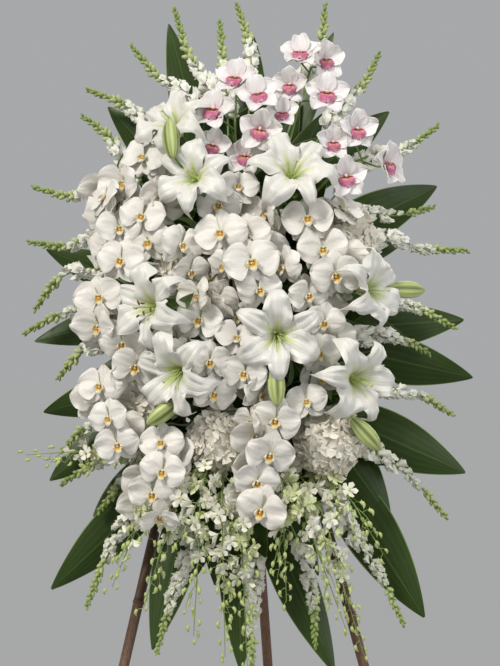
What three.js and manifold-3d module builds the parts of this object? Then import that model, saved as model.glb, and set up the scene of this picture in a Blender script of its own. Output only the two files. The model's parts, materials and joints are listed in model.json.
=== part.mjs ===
// A standing funeral spray: white orchids, lilies, hydrangeas, snapdragons and broad leaves,
// stuck into a caged brick of wet floral foam that is tied to a tripod of three bamboo canes.
// Millimetres, +Z up. The spray faces -Y. The origin is on the floor, under the middle of the whole.

import * as THREE from "three";
import { mergeVertices } from "three/addons/utils/BufferGeometryUtils.js";
import Module from "manifold-3d";

const wasm = await Module();
wasm.setup();

const CM = 10;
const CLEARANCE = 0.35;

// The tripod. Its two front canes lean back to the apex, and the third props them from behind.
const APEX_HEIGHT = 1290;
const APEX_X = -30;
const FRONT_REACH = 310;
const BACK_REACH = 400;
const LEFT_FOOT_X = -334;
const RIGHT_FOOT_X = 323;
const BACK_FOOT_X = 60;
const CANE_RADIUS = 10;
const CANE_SIDES = 8;
const CANE_NODE_SWELL = 1.8;
const CANE_OVERRUN = 38;
const LEAN = FRONT_REACH / APEX_HEIGHT;

// The floral foam and its plastic cage lie on the two front canes.
const FOAM_WIDTH = 150;
const FOAM_LENGTH = 400;
const FOAM_DEPTH = 100;
const FOAM_MIDDLE_HEIGHT = 1025;
const CAGE_WALL = 3;
const CAGE_LUG = 34;
const STRAP_REACH = 158;
const HOOP_WIDTH = 5;
const CAGE_HOOPS = [-180, -40, 80, 182];
const STEM_IN_FOAM = 32;
const PEG_OUT = 12;
const PEG_RADIUS = 6;
const PEG_SIDES = 3;

// The front of the spray is a dome. Depth is measured forwards from the plane of the front canes.
const DOME_CENTRE = { x: -10, z: 1070 };
const DOME_HALF = { x: 400, z: 560 };
const RIM_DEPTH = 110;
const DOME_DEPTH = 190;
const LEAF_LAYERS = [26, 58];
const SNAPDRAGON_DEPTH = 104;

// Places are in centimetres: x from the middle of the spray, z above the floor. Angles are in degrees:
// turn is to the right as seen from the front, nod is upwards. Widths are in millimetres.
// A row of an orchid is x, z, turn, nod, width and how far it stands in front of the dome.
const PHALAENOPSIS = {
  upper_left: {
    root: [-3, 17],
    stems: [
      [[-8.5, 141], [-14, 145], [-19, 142]],
      [[-11, 138], [-20, 143], [-26, 136]],
    ],
    blooms: [
      [-20.6, 137.2, -5, 5, 80, 16],
      [-17.6, 130, 32, -5, 66, 2],
      [-20.8, 125.6, 10, 0, 80, 14],
      [-19.6, 120.6, 5, 5, 84, -2],
      [-24.4, 132.4, -20, 0, 84, 0],
      [-28, 129.6, -30, 22, 80, 16],
      [-25.2, 123.4, 8, 5, 76, 2],
      [-24.8, 117.2, -5, 0, 82, 14],
    ],
    routes: [[0, 1, 2, 3], [4, 5, 6, 7]],
  },
  left: {
    root: [-3, 5],
    stems: [[[-16, 114], [-25, 115], [-27, 112]]],
    blooms: [
      [-29, 110.2, 8, 0, 80, 2],
      [-29, 104.6, -10, 0, 80, 0],
      [-24.4, 101.4, 5, -8, 76, 4],
      [-21.8, 97, 5, 0, 80, 2],
      [-28.6, 93.2, -5, 5, 78, 8],
      [-26.8, 87.2, -5, 0, 74, 20],
      [-25.2, 82.2, 0, 0, 78, 8],
    ],
    routes: [[0, 1, 2, 3, 4, 5, 6]],
  },
  centre_left: {
    root: [-3, 1],
    stems: [[[-8, 120], [-13, 124], [-14, 122]]],
    blooms: [
      [-13.2, 120.2, 25, 0, 76, 6],
      [-11.6, 115.2, 50, -30, 66, -8],
      [-9.8, 110.4, -45, 0, 66, 16],
      [-9.6, 105.8, -5, 0, 84, 4],
      [-13, 99.2, 20, 0, 68, -6],
      [-7.8, 98, 22, -10, 76, 18],
      [-7, 92, 28, -10, 76, 4],
    ],
    routes: [[0, 1, 2, 3, 4, 5, 6]],
  },
  centre: {
    root: [1, 9],
    stems: [
      [[-4, 134], [-6, 137], [-4.5, 134]],
      [[2, 130], [5, 132], [5, 128]],
    ],
    blooms: [
      [-2.4, 131.4, 0, 14, 74, 4],
      [-6, 128, -18, 0, 80, -10],
      [-5.6, 122.4, -4, 0, 90, 16],
      [-5, 116.2, -45, 0, 66, 2],
      [-6, 110.2, 0, -45, 66, -14],
      [-2.4, 102.2, -12, 28, 76, 8],
      [-1, 95.8, -8, 0, 78, 16],
      [3.2, 126.4, -45, 0, 76, -8],
      [-0.8, 121.8, 2, 10, 84, 0],
      [0.2, 116.8, 0, 0, 94, 22],
      [6.4, 116, -50, -10, 76, 4],
      [1.6, 111.6, 16, -6, 76, 0],
      [2, 92, 34, -6, 72, -2],
    ],
    routes: [[0, 1, 2, 3, 4, 5, 6, 12], [7, 8, 9, 10, 11]],
  },
  right: {
    root: [3, 3],
    stems: [[[13, 122], [17, 128], [18, 127]]],
    blooms: [
      [17.6, 127.2, 38, 26, 74, 0],
      [11, 125.2, 0, 0, 84, 8],
      [14, 119.4, -12, 0, 84, -6],
      [16.2, 114.4, 5, 0, 88, 18],
      [11, 110.6, 0, -20, 74, 0],
      [14, 105.4, 0, 0, 72, 12],
      [13, 99.6, 4, 0, 78, 0],
      [10.6, 90.4, 0, 32, 72, 4],
    ],
    routes: [[0, 1, 2, 3, 4, 5, 6, 7]],
  },
  lower_left: {
    root: [-3, -13],
    stems: [[[-12, 86], [-16, 86], [-17, 84]]],
    blooms: [
      [-16.8, 82.6, 0, 22, 74, 0],
      [-16.6, 77.2, 5, 0, 78, 14],
      [-18.6, 73, -4, 0, 80, 4],
      [-17.2, 68.8, 0, -28, 64, 10],
    ],
    routes: [[0, 1, 2, 3]],
  },
  lower_centre: {
    root: [1, -11],
    stems: [[[2, 90], [3, 91], [3, 89]]],
    blooms: [
      [0.4, 86.8, -36, 0, 60, -4],
      [4.8, 87, -4, 0, 84, 12],
      [3.6, 80.6, 5, 0, 84, 22],
      [1.2, 75.4, 0, 0, 80, 8],
      [2, 70, 0, -5, 84, 20],
    ],
    routes: [[0, 1, 2, 3, 4]],
  },
};

// A row of a cymbidium is the same as a phalaenopsis row.
const CYMBIDIUM = {
  left: {
    root: [-1, 17],
    stem: [[-2.2, 133], [-3, 142], [-2.8, 150]],
    blooms: [
      [-6.8, 146, -10, 5, 68, 22],
      [-2.8, 152.4, -8, 10, 64, 14],
      [1.4, 149, 8, 5, 66, 24],
      [1.8, 142.6, 5, -5, 64, 10],
      [-7.4, 139.4, 0, 8, 56, -18],
      [-1, 137.4, 0, 0, 56, -26],
    ],
  },
  top_right: {
    root: [1, 17],
    stem: [[6, 136], [9, 146], [12, 156]],
    blooms: [
      [9.8, 157.8, -14, 12, 62, 14],
      [14.4, 157, 16, 8, 60, 8],
      [14.8, 149.6, 8, 0, 70, 20],
      [8, 151.6, -24, 0, 58, 0],
      [6.2, 145.6, -10, 0, 54, -8],
    ],
  },
  right: {
    root: [3, 15],
    stem: [[12, 130], [17, 135], [23, 138]],
    blooms: [
      [20.4, 142.6, 5, 5, 62, 12],
      [26, 136, 30, -6, 66, 4],
      [18.2, 133.2, 14, -6, 64, 14],
      [15.8, 140, 10, 0, 54, -8],
    ],
  },
};

// A row of a lily is x, z, turn, nod, roll, length of its tepals, and how far it stands off the dome.
// A bud is its foot's x and z, its tip's x and z, and its stand-off.
const LILIES = {
  top_left: {
    root: [-3, 13],
    blooms: [
      [-14, 142.6, -28, 28, 10, 86, 32],
      [-10.4, 132.6, -12, 12, 0, 84, 46],
    ],
    buds: [[-14.6, 134, -15.6, 144.5, 78]],
  },
  top: { root: [1, 13], blooms: [[7.8, 133, 2, 24, 20, 96, 42]], buds: [] },
  left: { root: [-3, 9], blooms: [[-17.5, 108.2, -32, 6, 10, 88, 68]], buds: [] },
  centre: {
    root: [1, 1],
    blooms: [[5, 103, 0, 0, 0, 94, 52]],
    buds: [[4.6, 97.4, 5, 89.6, 52]],
  },
  lower_left: {
    root: [-3, -3],
    blooms: [[-12.8, 96.4, -26, -8, 12, 90, 52]],
    buds: [[-13.6, 90.6, -19.6, 86.2, 44]],
  },
  right: {
    root: [3, -5],
    blooms: [[18.8, 94.8, 20, 0, 25, 92, 44]],
    buds: [[18.4, 88, 24.6, 81.2, 44]],
  },
  upper_right: {
    root: [3, 7],
    blooms: [[21.4, 111.6, 36, 4, 0, 84, 28]],
    buds: [[25.4, 111.8, 33.6, 111.6, 26]],
  },
};

// A row of a hydrangea head is x, z, its radius and how far its middle lies behind the dome.
const HYDRANGEAS = {
  lower_right: { root: [3, -15], heads: [[15, 82.8, 64, 58]] },
  lower_centre: { root: [-1, -9], heads: [[-5.8, 83.2, 60, 66]] },
  centre: { root: [-1, 5], heads: [[-13, 115.5, 54, 74]] },
  upper_right: { root: [3, 11], heads: [[20, 122.6, 42, 74]] },
  left: { root: [-3, -9], heads: [[-21.4, 89.6, 42, 84]] },
};

// A row of a snapdragon is the x and z of its tip, then those of its lowest floret, and its sideways bow.
const SNAPDRAGONS = {
  top_left: { root: ["top", -6], stems: [[-15.2, 168.2, -7.6, 151, -1.2], [-23.8, 160.8, -12, 150, -1]] },
  top: { root: ["top", -1], stems: [[-6.2, 165.6, -4.8, 151, 0], [-2.8, 169.6, 0.4, 155, 0.6]] },
  top_right: { root: ["top", 5], stems: [[15, 169, 12, 156, 0.8], [25.6, 159, 17.6, 147.6, 1]] },
  upper_left: { root: ["left", 16], stems: [[-32.2, 151.8, -20, 143.4, 1.4], [-33.2, 146.4, -24.6, 137, 1]] },
  left_high: { root: ["left", 9], stems: [[-42.8, 132.2, -29, 131, -1.2], [-43.4, 121.2, -29, 122.6, -1.4]] },
  left: { root: ["left", 2], stems: [[-42.2, 108, -31, 116, 2.2], [-44, 103.4, -31, 107.8, 1.2]] },
  left_low: { root: ["left", -5], stems: [[-37.4, 94.6, -29.6, 101, 1], [-36.4, 80.6, -28.6, 86.8, 0.8]] },
  lower_left: { root: ["left", -12], stems: [[-36.4, 74.2, -26, 79.6, 0.6], [-29.2, 69, -22.4, 76, 0.5]] },
  hanging_left: { root: ["bottom", -4], stems: [[-31.4, 51, -22, 70, 0.8], [-17.8, 42.4, -12, 61, 0.5]] },
  hanging: { root: ["bottom", 2], stems: [[0.2, 37.6, 0.6, 57, 0], [12.4, 43.6, 10.4, 60, -0.6]] },
  lower_right: { root: ["right", -17], stems: [[29.2, 47.6, 17.8, 67.6, -1], [37.6, 68, 24, 80.4, -1]] },
  right_low: { root: ["right", -7], stems: [[39.2, 87.6, 26.6, 92.6, -1], [34.8, 99.4, 24, 103, -1]] },
  right: { root: ["right", 4], stems: [[40, 104.4, 24, 110.4, -1], [42.4, 119.6, 26, 122, 0.8]] },
  right_high: { root: ["right", 12], stems: [[36, 128.2, 22, 126.6, 0.8], [37, 144.4, 24, 138, 1.2]] },
};

// A row of a leaf is the x and z of its tip, its width, its roll about the midrib, and its layer.
const LEAVES = {
  top_left: { root: ["top", -3], leaves: [[-16.6, 166.2, 78, -16, 0], [-28.6, 148.8, 76, 14, 1]] },
  top: { root: ["top", 1], leaves: [[0.6, 163.6, 78, 10, 0], [9.6, 150.6, 84, -10, 1]] },
  top_right: { root: ["top", 3], leaves: [[16.8, 164.4, 70, 24, 0], [27.8, 147.8, 84, -10, 1]] },
  left_high: { root: ["left", 6], leaves: [[-40.8, 120, 76, 12, 0], [-42.6, 101.8, 72, -10, 1]] },
  left_low: { root: ["left", -8], leaves: [[-40.8, 87.8, 80, 8, 0], [-39.2, 74.6, 84, -8, 1]] },
  hanging_left: { root: ["bottom", -6], leaves: [[-38.6, 53.8, 92, 10, 1], [-19, 42, 84, -8, 0]] },
  hanging: { root: ["bottom", 0], leaves: [[-1.8, 37.8, 78, 0, 0], [16.2, 38, 84, 8, 1]] },
  right_high: { root: ["right", 15], leaves: [[37.4, 132.8, 98, -12, 0], [30.8, 121.8, 82, 14, 1]] },
  right: { root: ["right", 0], leaves: [[42.4, 106, 94, 10, 0], [43.8, 94.6, 98, -8, 1]] },
  right_low: { root: ["right", -12], leaves: [[42.2, 76, 108, 8, 0], [33.6, 48.4, 108, -8, 1]] },
};

// A row of a hanging orchid spray is the x and z where it leaves the mass, and those of its tip.
const CASCADES = {
  left: { root: ["bottom", -6], sprays: [[-18, 75, -26.4, 55], [-12.6, 76, -20.4, 51], [-30, 81, -43, 80]] },
  centre_left: { root: ["bottom", -2], sprays: [[-9, 75, -10.8, 46], [-5.4, 73, -4.8, 42]] },
  centre: { root: ["bottom", 2], sprays: [[-2, 73, -0.6, 40], [6, 75, 6.8, 52.6]] },
  right: {
    root: ["bottom", 6],
    sprays: [[9, 72, 18.2, 47], [13.4, 69.6, 21.4, 42.6], [18.8, 72, 25.2, 61.4]],
  },
};

const radians = THREE.MathUtils.degToRad;
const vec = (x, y, z) => new THREE.Vector3(x, y, z);

// The plane of the two front canes, as its y at a height.
const planeY = (z) => (z - APEX_HEIGHT) * LEAN;

const domeDepth = (x, z) => {
  const across = (x - DOME_CENTRE.x) / DOME_HALF.x;
  const up = (z - DOME_CENTRE.z) / DOME_HALF.z;
  return RIM_DEPTH + DOME_DEPTH * Math.sqrt(Math.max(0, 1 - across * across - up * up));
};

// A point x and z centimetres across and up, and depth millimetres in front of the canes.
const place = (x, z, depth) => vec(x * CM, planeY(z * CM) - depth, z * CM);
const onDome = (x, z, lift = 0) => place(x, z, domeDepth(x * CM, z * CM) + lift);

// The foam's own frame: u across, v up the lean, w forwards from the plane of the canes.
const LEAN_ANGLE = Math.atan(LEAN);
const FOAM_BACK = CANE_RADIUS + CANE_NODE_SWELL + 0.3 + CAGE_WALL + CLEARANCE;
const FOAM_FRONT = FOAM_BACK + FOAM_DEPTH;
const upLean = vec(0, Math.sin(LEAN_ANGLE), Math.cos(LEAN_ANGLE));
const outOfLean = vec(0, -Math.cos(LEAN_ANGLE), Math.sin(LEAN_ANGLE));
const foamMiddle = vec(APEX_X, planeY(FOAM_MIDDLE_HEIGHT), FOAM_MIDDLE_HEIGHT);
const inFoam = (u, v, w) =>
  foamMiddle
    .clone()
    .addScaledVector(vec(1, 0, 0), u)
    .addScaledVector(upLean, v)
    .addScaledVector(outOfLean, w);
const foamFrame = new THREE.Matrix4()
  .makeBasis(vec(1, 0, 0), upLean, outOfLean)
  .setPosition(foamMiddle);

// A node's stems share one peg in the foam. It is given by its ends, in the foam and outside it.
// On the foam's front it stands at centimetres across and up from the middle.
const frontRoot = ([u, v]) => [
  inFoam(u * CM * 1.85, v * CM, FOAM_FRONT - STEM_IN_FOAM),
  inFoam(u * CM * 1.85, v * CM, FOAM_FRONT + PEG_OUT),
];

// On a side, the top or the bottom of the foam, it stands at centimetres along that face, w forwards.
const edgeRoot = ([side, along], w) => {
  const halfWidth = FOAM_WIDTH / 2;
  const halfLength = FOAM_LENGTH / 2;
  const reach = (out) =>
    ({
      left: inFoam(-halfWidth - out, along * CM, w),
      right: inFoam(halfWidth + out, along * CM, w),
      top: inFoam(along * CM, halfLength + out, w),
      bottom: inFoam(along * CM, -halfLength - out, w),
    })[side];
  return [reach(-STEM_IN_FOAM), reach(PEG_OUT)];
};

// The first two points of a stem that grows from a peg: inside its head, and a little further out.
const fromPeg = ([inner, outer], further = 16) => [
  outer.clone().lerp(inner, 0.08),
  outer.clone().addScaledVector(outer.clone().sub(inner).normalize(), further),
];

// Turns vertices and faces into a solid, swollen by grow along its vertices' normals.
function solid(vertices, faces, grow = 0) {
  const points = vertices.map((v) => v.clone());
  const six = faces.reduce((sum, [a, b, c]) => sum + points[a].dot(points[b].clone().cross(points[c])), 0);
  const turned = six < 0 ? faces.map(([a, b, c]) => [a, c, b]) : faces;
  if (grow) {
    const normals = points.map(() => vec(0, 0, 0));
    for (const [a, b, c] of turned) {
      const normal = points[b].clone().sub(points[a]).cross(points[c].clone().sub(points[a]));
      for (const i of [a, b, c]) normals[i].add(normal);
    }
    normals.forEach((n, i) => points[i].addScaledVector(n.normalize(), grow));
  }
  return new wasm.Manifold(
    new wasm.Mesh({
      numProp: 3,
      vertProperties: new Float32Array(points.flatMap((p) => [p.x, p.y, p.z])),
      triVerts: new Uint32Array(turned.flat()),
    }),
  );
}

const fromGeometry = (geometry) => {
  const bare = geometry.index ? geometry.toNonIndexed() : geometry;
  const merged = mergeVertices(
    new THREE.BufferGeometry().setAttribute("position", bare.getAttribute("position")),
    1e-3,
  );
  return new wasm.Manifold(
    new wasm.Mesh({
      numProp: 3,
      vertProperties: merged.attributes.position.array,
      triVerts: new Uint32Array(merged.index.array),
    }),
  );
};

// A shape is its vertices and faces, from rings of points. Each ring is stitched to the next by angle,
// and a ring of one point closes an end.
function stack(rings) {
  const vertices = [];
  const faces = [];
  const marks = rings.map((ring) => {
    const start = vertices.length;
    vertices.push(...ring.map((p) => p.at));
    return { start, count: ring.length, turns: ring.map((p) => p.turn) };
  });
  const full = 2 * Math.PI;
  for (let k = 0; k + 1 < marks.length; k++) {
    const [a, b] = [marks[k], marks[k + 1]];
    const next = (m, i) => (i + 1 < m.count ? m.turns[i + 1] : m.turns[0] + full);
    const index = (m, i) => m.start + (i % m.count);
    let i = 0;
    let j = 0;
    const stepsA = a.count === 1 ? 0 : a.count;
    const stepsB = b.count === 1 ? 0 : b.count;
    while (i < stepsA || j < stepsB) {
      const advanceA = j >= stepsB || (i < stepsA && next(a, i) <= next(b, j) + 1e-6);
      if (advanceA) {
        faces.push([index(a, i), index(b, j), index(a, i + 1)]);
        i++;
      } else {
        faces.push([index(a, i), index(b, j), index(b, j + 1)]);
        j++;
      }
    }
  }
  for (const m of [marks[0], marks[marks.length - 1]]) {
    const last = m !== marks[0];
    for (let i = 1; i + 1 < m.count; i++) {
      faces.push(last ? [m.start, m.start + i + 1, m.start + i] : [m.start, m.start + i, m.start + i + 1]);
    }
  }
  return { vertices, faces };
}

const moved = (shape, matrix) => ({
  vertices: shape.vertices.map((v) => v.clone().applyMatrix4(matrix)),
  faces: shape.faces,
});

// A ring of even points round a centre.
const ringAt = (centre, across, up, sides, radius) =>
  Array.from({ length: sides }, (_, i) => {
    const turn = (2 * Math.PI * i) / sides;
    const r = typeof radius === "function" ? radius(i) : radius;
    return {
      at: centre.clone().addScaledVector(across, r * Math.cos(turn)).addScaledVector(up, r * Math.sin(turn)),
      turn,
    };
  });

const X = vec(1, 0, 0);
const Y = vec(0, 1, 0);
const flatRing = (sides, radius, z) => ringAt(vec(0, 0, z), X, Y, sides, radius);
const point = (x, y, z) => [{ at: vec(x, y, z), turn: 0 }];

// An outline given as angle in degrees, radius and height, in order of angle.
const outline = (rows, size) =>
  rows
    .map(([angle, radius, z]) => ({ turn: radians((angle + 720) % 360), radius: radius * size, z: z * size }))
    .sort((a, b) => a.turn - b.turn)
    .map(({ turn, radius, z }) => ({ at: vec(radius * Math.cos(turn), radius * Math.sin(turn), z), turn }));

// A tube straight from point to point, with its radius as a number or a function of the way along.
function tube(path, radius, sides) {
  const rings = [];
  let across = null;
  path.forEach((p, k) => {
    const along = path[Math.min(k + 1, path.length - 1)].clone().sub(path[Math.max(k - 1, 0)]).normalize();
    across = across ?? along.clone().cross(vec(0.3, 0.4, 0.86)).normalize();
    const up = along.clone().cross(across).normalize();
    across = up.clone().cross(along);
    const r = typeof radius === "function" ? radius(k / (path.length - 1)) : radius;
    rings.push(ringAt(p, across, up, sides, r));
  });
  return stack(rings);
}

// A bloom's frame: it faces along turn and nod, rolled about the way it faces.
function facing(position, turn, nod, roll = 0) {
  const forward = vec(
    Math.sin(radians(turn)) * Math.cos(radians(nod)),
    -Math.cos(radians(turn)) * Math.cos(radians(nod)),
    Math.sin(radians(nod)),
  );
  const side = vec(0, 0, 1).cross(forward).normalize();
  const up = forward.clone().cross(side);
  return new THREE.Matrix4()
    .makeBasis(side, up, forward)
    .setPosition(position)
    .multiply(new THREE.Matrix4().makeRotationZ(radians(roll)));
}

// The outward lean of a bloom on the dome, added to its own turn and nod.
const domeTurn = (x) => 26 * ((x * CM - DOME_CENTRE.x) / DOME_HALF.x);
const domeNod = (z) => 22 * ((z * CM - DOME_CENTRE.z) / DOME_HALF.z);

// Phalaenopsis: two round petals in front of three sepals, with a small lip in the middle.
const petal = [[-46, 0.55, 0.04], [-19, 0.97, 0.09], [9, 1.04, 0.1], [36, 0.97, 0.06], [62, 0.58, 0.02]];
const PHALAENOPSIS_PETALS = [
  ...petal,
  [90, 0.14, 0.01],
  ...petal.map(([angle, radius, z]) => [180 - angle, radius, z]),
  [270, 0.14, 0.01],
];
const sepal = (middle) => [[-25, 0.68, -0.12], [0, 1, -0.17], [25, 0.68, -0.12]].map(
  ([angle, radius, z]) => [middle + angle, radius, z],
);
const PHALAENOPSIS_SEPALS = [...sepal(90), ...sepal(228), [270, 0.24, -0.1], ...sepal(312)];

function phalaenopsisBloom(width, pedicel) {
  const half = width / 2;
  return stack([
    point(0, -0.24 * half, 0.36 * half),
    outline(PHALAENOPSIS_PETALS, half),
    flatRing(3, 3, -0.01 * half),
    outline(PHALAENOPSIS_SEPALS, half),
    flatRing(3, 3, -0.14 * half),
    flatRing(3, 1.6, -pedicel - 0.4),
  ]);
}

// Cymbidium: five pointed tepals and a cupped lip.
const CYMBIDIUM_TEPALS = [90, 162, 234, 306, 18].flatMap((middle) => [
  [middle - 23, 0.8, 0.14],
  [middle, 1.06, 0.06],
  [middle + 23, 0.8, 0.14],
  [middle + 36, 0.42, 0.04],
]);

function cymbidiumBloom(width, frame, stemPoint) {
  const half = width / 2;
  const bloom = [
    point(0, -0.12 * half, 0.34 * half),
    ringAt(vec(0, -0.14 * half, 0.4 * half), X, Y, 4, 0.24 * half),
    outline(CYMBIDIUM_TEPALS, half),
    flatRing(3, 3, -0.12 * half),
  ].map((ring) => ring.map(({ at, turn }) => ({ at: at.clone().applyMatrix4(frame), turn })));
  const side = X.clone().transformDirection(frame);
  const up = Y.clone().transformDirection(frame);
  const back = bloom[bloom.length - 1][0].at;
  const lean = stemPoint.clone().sub(back).normalize();
  const across = side.addScaledVector(lean, -side.dot(lean)).normalize();
  const other = up.addScaledVector(lean, -up.dot(lean)).normalize();
  return stack([...bloom, ringAt(stemPoint, across, other, 3, 1.8)]);
}

// Lily: six long tepals that open from a trumpet and curl back at their tips.
const LILY_TEPALS = [0, 1, 2, 3, 4, 5].flatMap((k) => {
  const middle = 30 + 60 * k;
  const broad = k % 2 ? 1 : 0.86;
  const rise = k % 2 ? 0.03 : 0;
  return [
    [middle - 23 * broad, 0.52, 0.46 + rise],
    [middle - 18 * broad, 0.76, 0.44 + rise],
    [middle, 1, 0.26 + rise],
    [middle + 18 * broad, 0.76, 0.44 + rise],
    [middle + 23 * broad, 0.52, 0.46 + rise],
    [middle + 30, 0.3, 0.36],
  ];
});
const LILY_THROAT = 0.12;

function lilyBloom(length) {
  return stack([
    point(0, 0, 0.07 * length),
    flatRing(6, 0.17 * length, 0.28 * length),
    outline(LILY_TEPALS, length),
    flatRing(6, 0.2 * length, 0.22 * length),
    flatRing(6, 0.07 * length, -0.03 * length),
    point(0, 0, -0.16 * length),
  ]);
}

// Two of the six stamens and the pistil, as slim needles from the throat.
const lilyNeedles = (length) =>
  [30, 150, 270].map((angle, i) => {
    const lean = (i === 2 ? 0.03 : 0.13) * length;
    const reach = (i === 2 ? 0.74 : 0.62) * length;
    const tip = point(lean * Math.cos(radians(angle)), lean * Math.sin(radians(angle)) - 4, reach);
    return stack([flatRing(3, 2.6, LILY_THROAT * length * 0.3), tip]);
  });

// A pointed bud from foot to tip.
function bud(foot, tip, radius, sides) {
  const along = tip.clone().sub(foot);
  const across = along.clone().cross(vec(0.3, 1, 0.2)).normalize();
  const up = along.clone().normalize().cross(across);
  return stack([
    [{ at: foot, turn: 0 }],
    ringAt(foot.clone().addScaledVector(along, 0.3), across, up, sides, radius * 0.85),
    ringAt(foot.clone().addScaledVector(along, 0.66), across, up, sides, radius),
    [{ at: tip, turn: 0 }],
  ]);
}

// Hydrangea: a round head covered by four-petalled florets. On its net of points every second one in
// both directions is a floret's middle, the ones beside it are petals, and the rest are gaps.
const HYDRANGEA_ACROSS = 12;
const HYDRANGEA_RINGS = 6;
const FLORET_LEVELS = { middle: 0.97, petal: 1.07, gap: 0.8 };

function hydrangeaHead(centre, radius) {
  const up = vec(0, 0, 1);
  const level = (angle) => centre.clone().add(vec(0, -radius * Math.cos(angle), 0));
  const rings = [[{ at: level(0), turn: 0 }]];
  for (let j = 1; j <= HYDRANGEA_RINGS; j++) {
    const angle = (Math.PI * j) / (HYDRANGEA_RINGS + 2);
    const kind = (i) => ["middle", "petal", "gap"][(i % 2) + (j % 2)];
    const ring = ringAt(centre, X, up, HYDRANGEA_ACROSS, radius * Math.sin(angle));
    ring.forEach((p, i) => {
      p.at.y = level(angle).y;
      p.at.sub(centre).multiplyScalar(FLORET_LEVELS[kind(i)]).add(centre);
    });
    rings.push(ring);
  }
  rings.push([{ at: level(0.86 * Math.PI), turn: 0 }]);
  return stack(rings);
}

// A flowering stem is bare first, then carries whorls. A whorl's ring has a floret at every second
// point, and the stem is slim again above it.
const STEM_STEPS = 2;

function floweringStem(path, bare, stemRadius, whorls) {
  const curve = new THREE.CatmullRomCurve3(path, false, "centripetal");
  const steps = 60;
  const frames = curve.computeFrenetFrames(steps, false);
  const ringFor = (u, sides, radius) => {
    const k = Math.min(steps, Math.round(u * steps));
    return ringAt(curve.getPointAt(u), frames.normals[k], frames.binormals[k], sides, radius);
  };
  const rings = [];
  for (let k = 0; k <= STEM_STEPS; k++) rings.push(ringFor((bare * k) / STEM_STEPS, 3, stemRadius));
  whorls.forEach(({ reach, sides, opening }, k) => {
    const at = (share) => bare + ((1 - bare) * (k + share)) / (whorls.length + 0.4);
    const lift = curve.getTangentAt(at(0.6)).multiplyScalar(opening * reach);
    const whorl = ringFor(at(0.6), sides, (i) => reach * ((i + k) % 2 ? 1 : 0.5));
    whorl.forEach((p, i) => (i + k) % 2 && p.at.add(lift));
    rings.push(whorl, ringFor(at(1), 3, stemRadius - (0.4 * stemRadius * k) / whorls.length));
  });
  rings.push([{ at: curve.getPointAt(1), turn: 0 }]);
  return stack(rings);
}

// Snapdragon: whorls of three florets that shrink to green buds at its tip.
const WHORLS = 5;
const FLORET_REACH = 25;

function snapdragon(path, spire) {
  const whorls = Array.from({ length: WHORLS }, (_, k) => ({
    reach: 6 + (FLORET_REACH - 6) * Math.pow(1 - k / WHORLS, 0.8),
    sides: 6,
    opening: 0.34,
  }));
  return floweringStem(path, 1 - spire / new THREE.CatmullRomCurve3(path).getLength(), 3.2, whorls);
}

// A hanging orchid spray: whorls of open flowers, then pairs of buds.
const CASCADE_BARE = 0.4;
const CASCADE_OPEN = 3;
const CASCADE_BUDS = 4;

function cascadeSpray(path) {
  const openWhorl = (_, k) => ({ reach: 24 - 3 * k, sides: 6, opening: 0.1 });
  const budWhorl = (_, k) => ({ reach: 11 - k, sides: 4, opening: 0.5 });
  return floweringStem(path, CASCADE_BARE, 2.4, [
    ...Array.from({ length: CASCADE_OPEN }, openWhorl),
    ...Array.from({ length: CASCADE_BUDS }, budWhorl),
  ]);
}

// A leaf: a stalk that widens into a blade, four points to a ring, split alike on both faces.
function leafBlade(path, width, roll, bladeLength) {
  const curve = new THREE.CatmullRomCurve3(path, false, "centripetal");
  const start = Math.max(0.2, 1 - bladeLength / curve.getLength());
  const stations = [0, start * 0.5, start];
  for (const s of [0.12, 0.3, 0.52, 0.74, 0.9]) stations.push(start + (1 - start) * s);
  const rings = stations.map((u) => {
    const s = Math.max(0, (u - start) / (1 - start));
    const centre = curve.getPointAt(u);
    const along = curve.getTangentAt(u);
    const rolled = radians(roll) * Math.min(1, s * 4);
    const side = along.clone().cross(vec(0, -1, 0)).normalize();
    const face = side.clone().cross(along).normalize();
    const across = side.clone().multiplyScalar(Math.cos(rolled)).addScaledVector(face, Math.sin(rolled));
    const normal = along.clone().cross(across).normalize();
    const half = Math.max(3, (width / 2) * Math.pow(Math.sin(Math.PI * Math.pow(s, 0.86)), 0.82));
    const thick = s > 0 ? 1.3 : 2.6;
    const trough = s > 0 ? 0.16 * half : 0;
    return [
      centre.clone().addScaledVector(across, half),
      centre.clone().addScaledVector(normal, thick - trough),
      centre.clone().addScaledVector(across, -half),
      centre.clone().addScaledVector(normal, -thick - trough),
    ];
  });
  const vertices = [...rings.flat(), curve.getPointAt(1)];
  const faces = [[0, 1, 2], [0, 2, 3]];
  for (let k = 0; k + 1 < rings.length; k++) {
    const [a, b] = [4 * k, 4 * k + 4];
    for (const [edge, middle] of [[0, 1], [2, 1], [2, 3], [0, 3]]) {
      const quad = [[a + edge, b + middle, a + middle], [a + edge, b + edge, b + middle]];
      const forward = (edge === 0 && middle === 1) || (edge === 2 && middle === 3);
      faces.push(...(forward ? quad.map(([p, q, r]) => [p, q, r]) : quad.map(([p, q, r]) => [p, r, q])));
    }
  }
  const last = 4 * (rings.length - 1);
  for (let i = 0; i < 4; i++) faces.push([last + i, vertices.length - 1, last + ((i + 1) % 4)]);
  return { vertices, faces };
}

// The peg itself, as a prism, longer and thicker by the room asked for.
function peg([inner, outer], room = 0) {
  const along = outer.clone().sub(inner).normalize();
  const across = along.clone().cross(vec(0.5, 0.6, 0.62)).normalize();
  const up = along.clone().cross(across);
  return stack([
    ringAt(inner.clone().addScaledVector(along, -room), across, up, PEG_SIDES, PEG_RADIUS + 2 * room),
    ringAt(outer.clone().addScaledVector(along, room), across, up, PEG_SIDES, PEG_RADIUS + 2 * room),
  ]);
}

// Each node is its peg, its stems and its heads. The stems are made for a shift in depth, by which
// they are bent clear of the stems before them. Heads give way to stems.
const nodes = [];
const addNode = (name, material, root, stems, heads) => nodes.push({ name, material, root, stems, heads });

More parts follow.
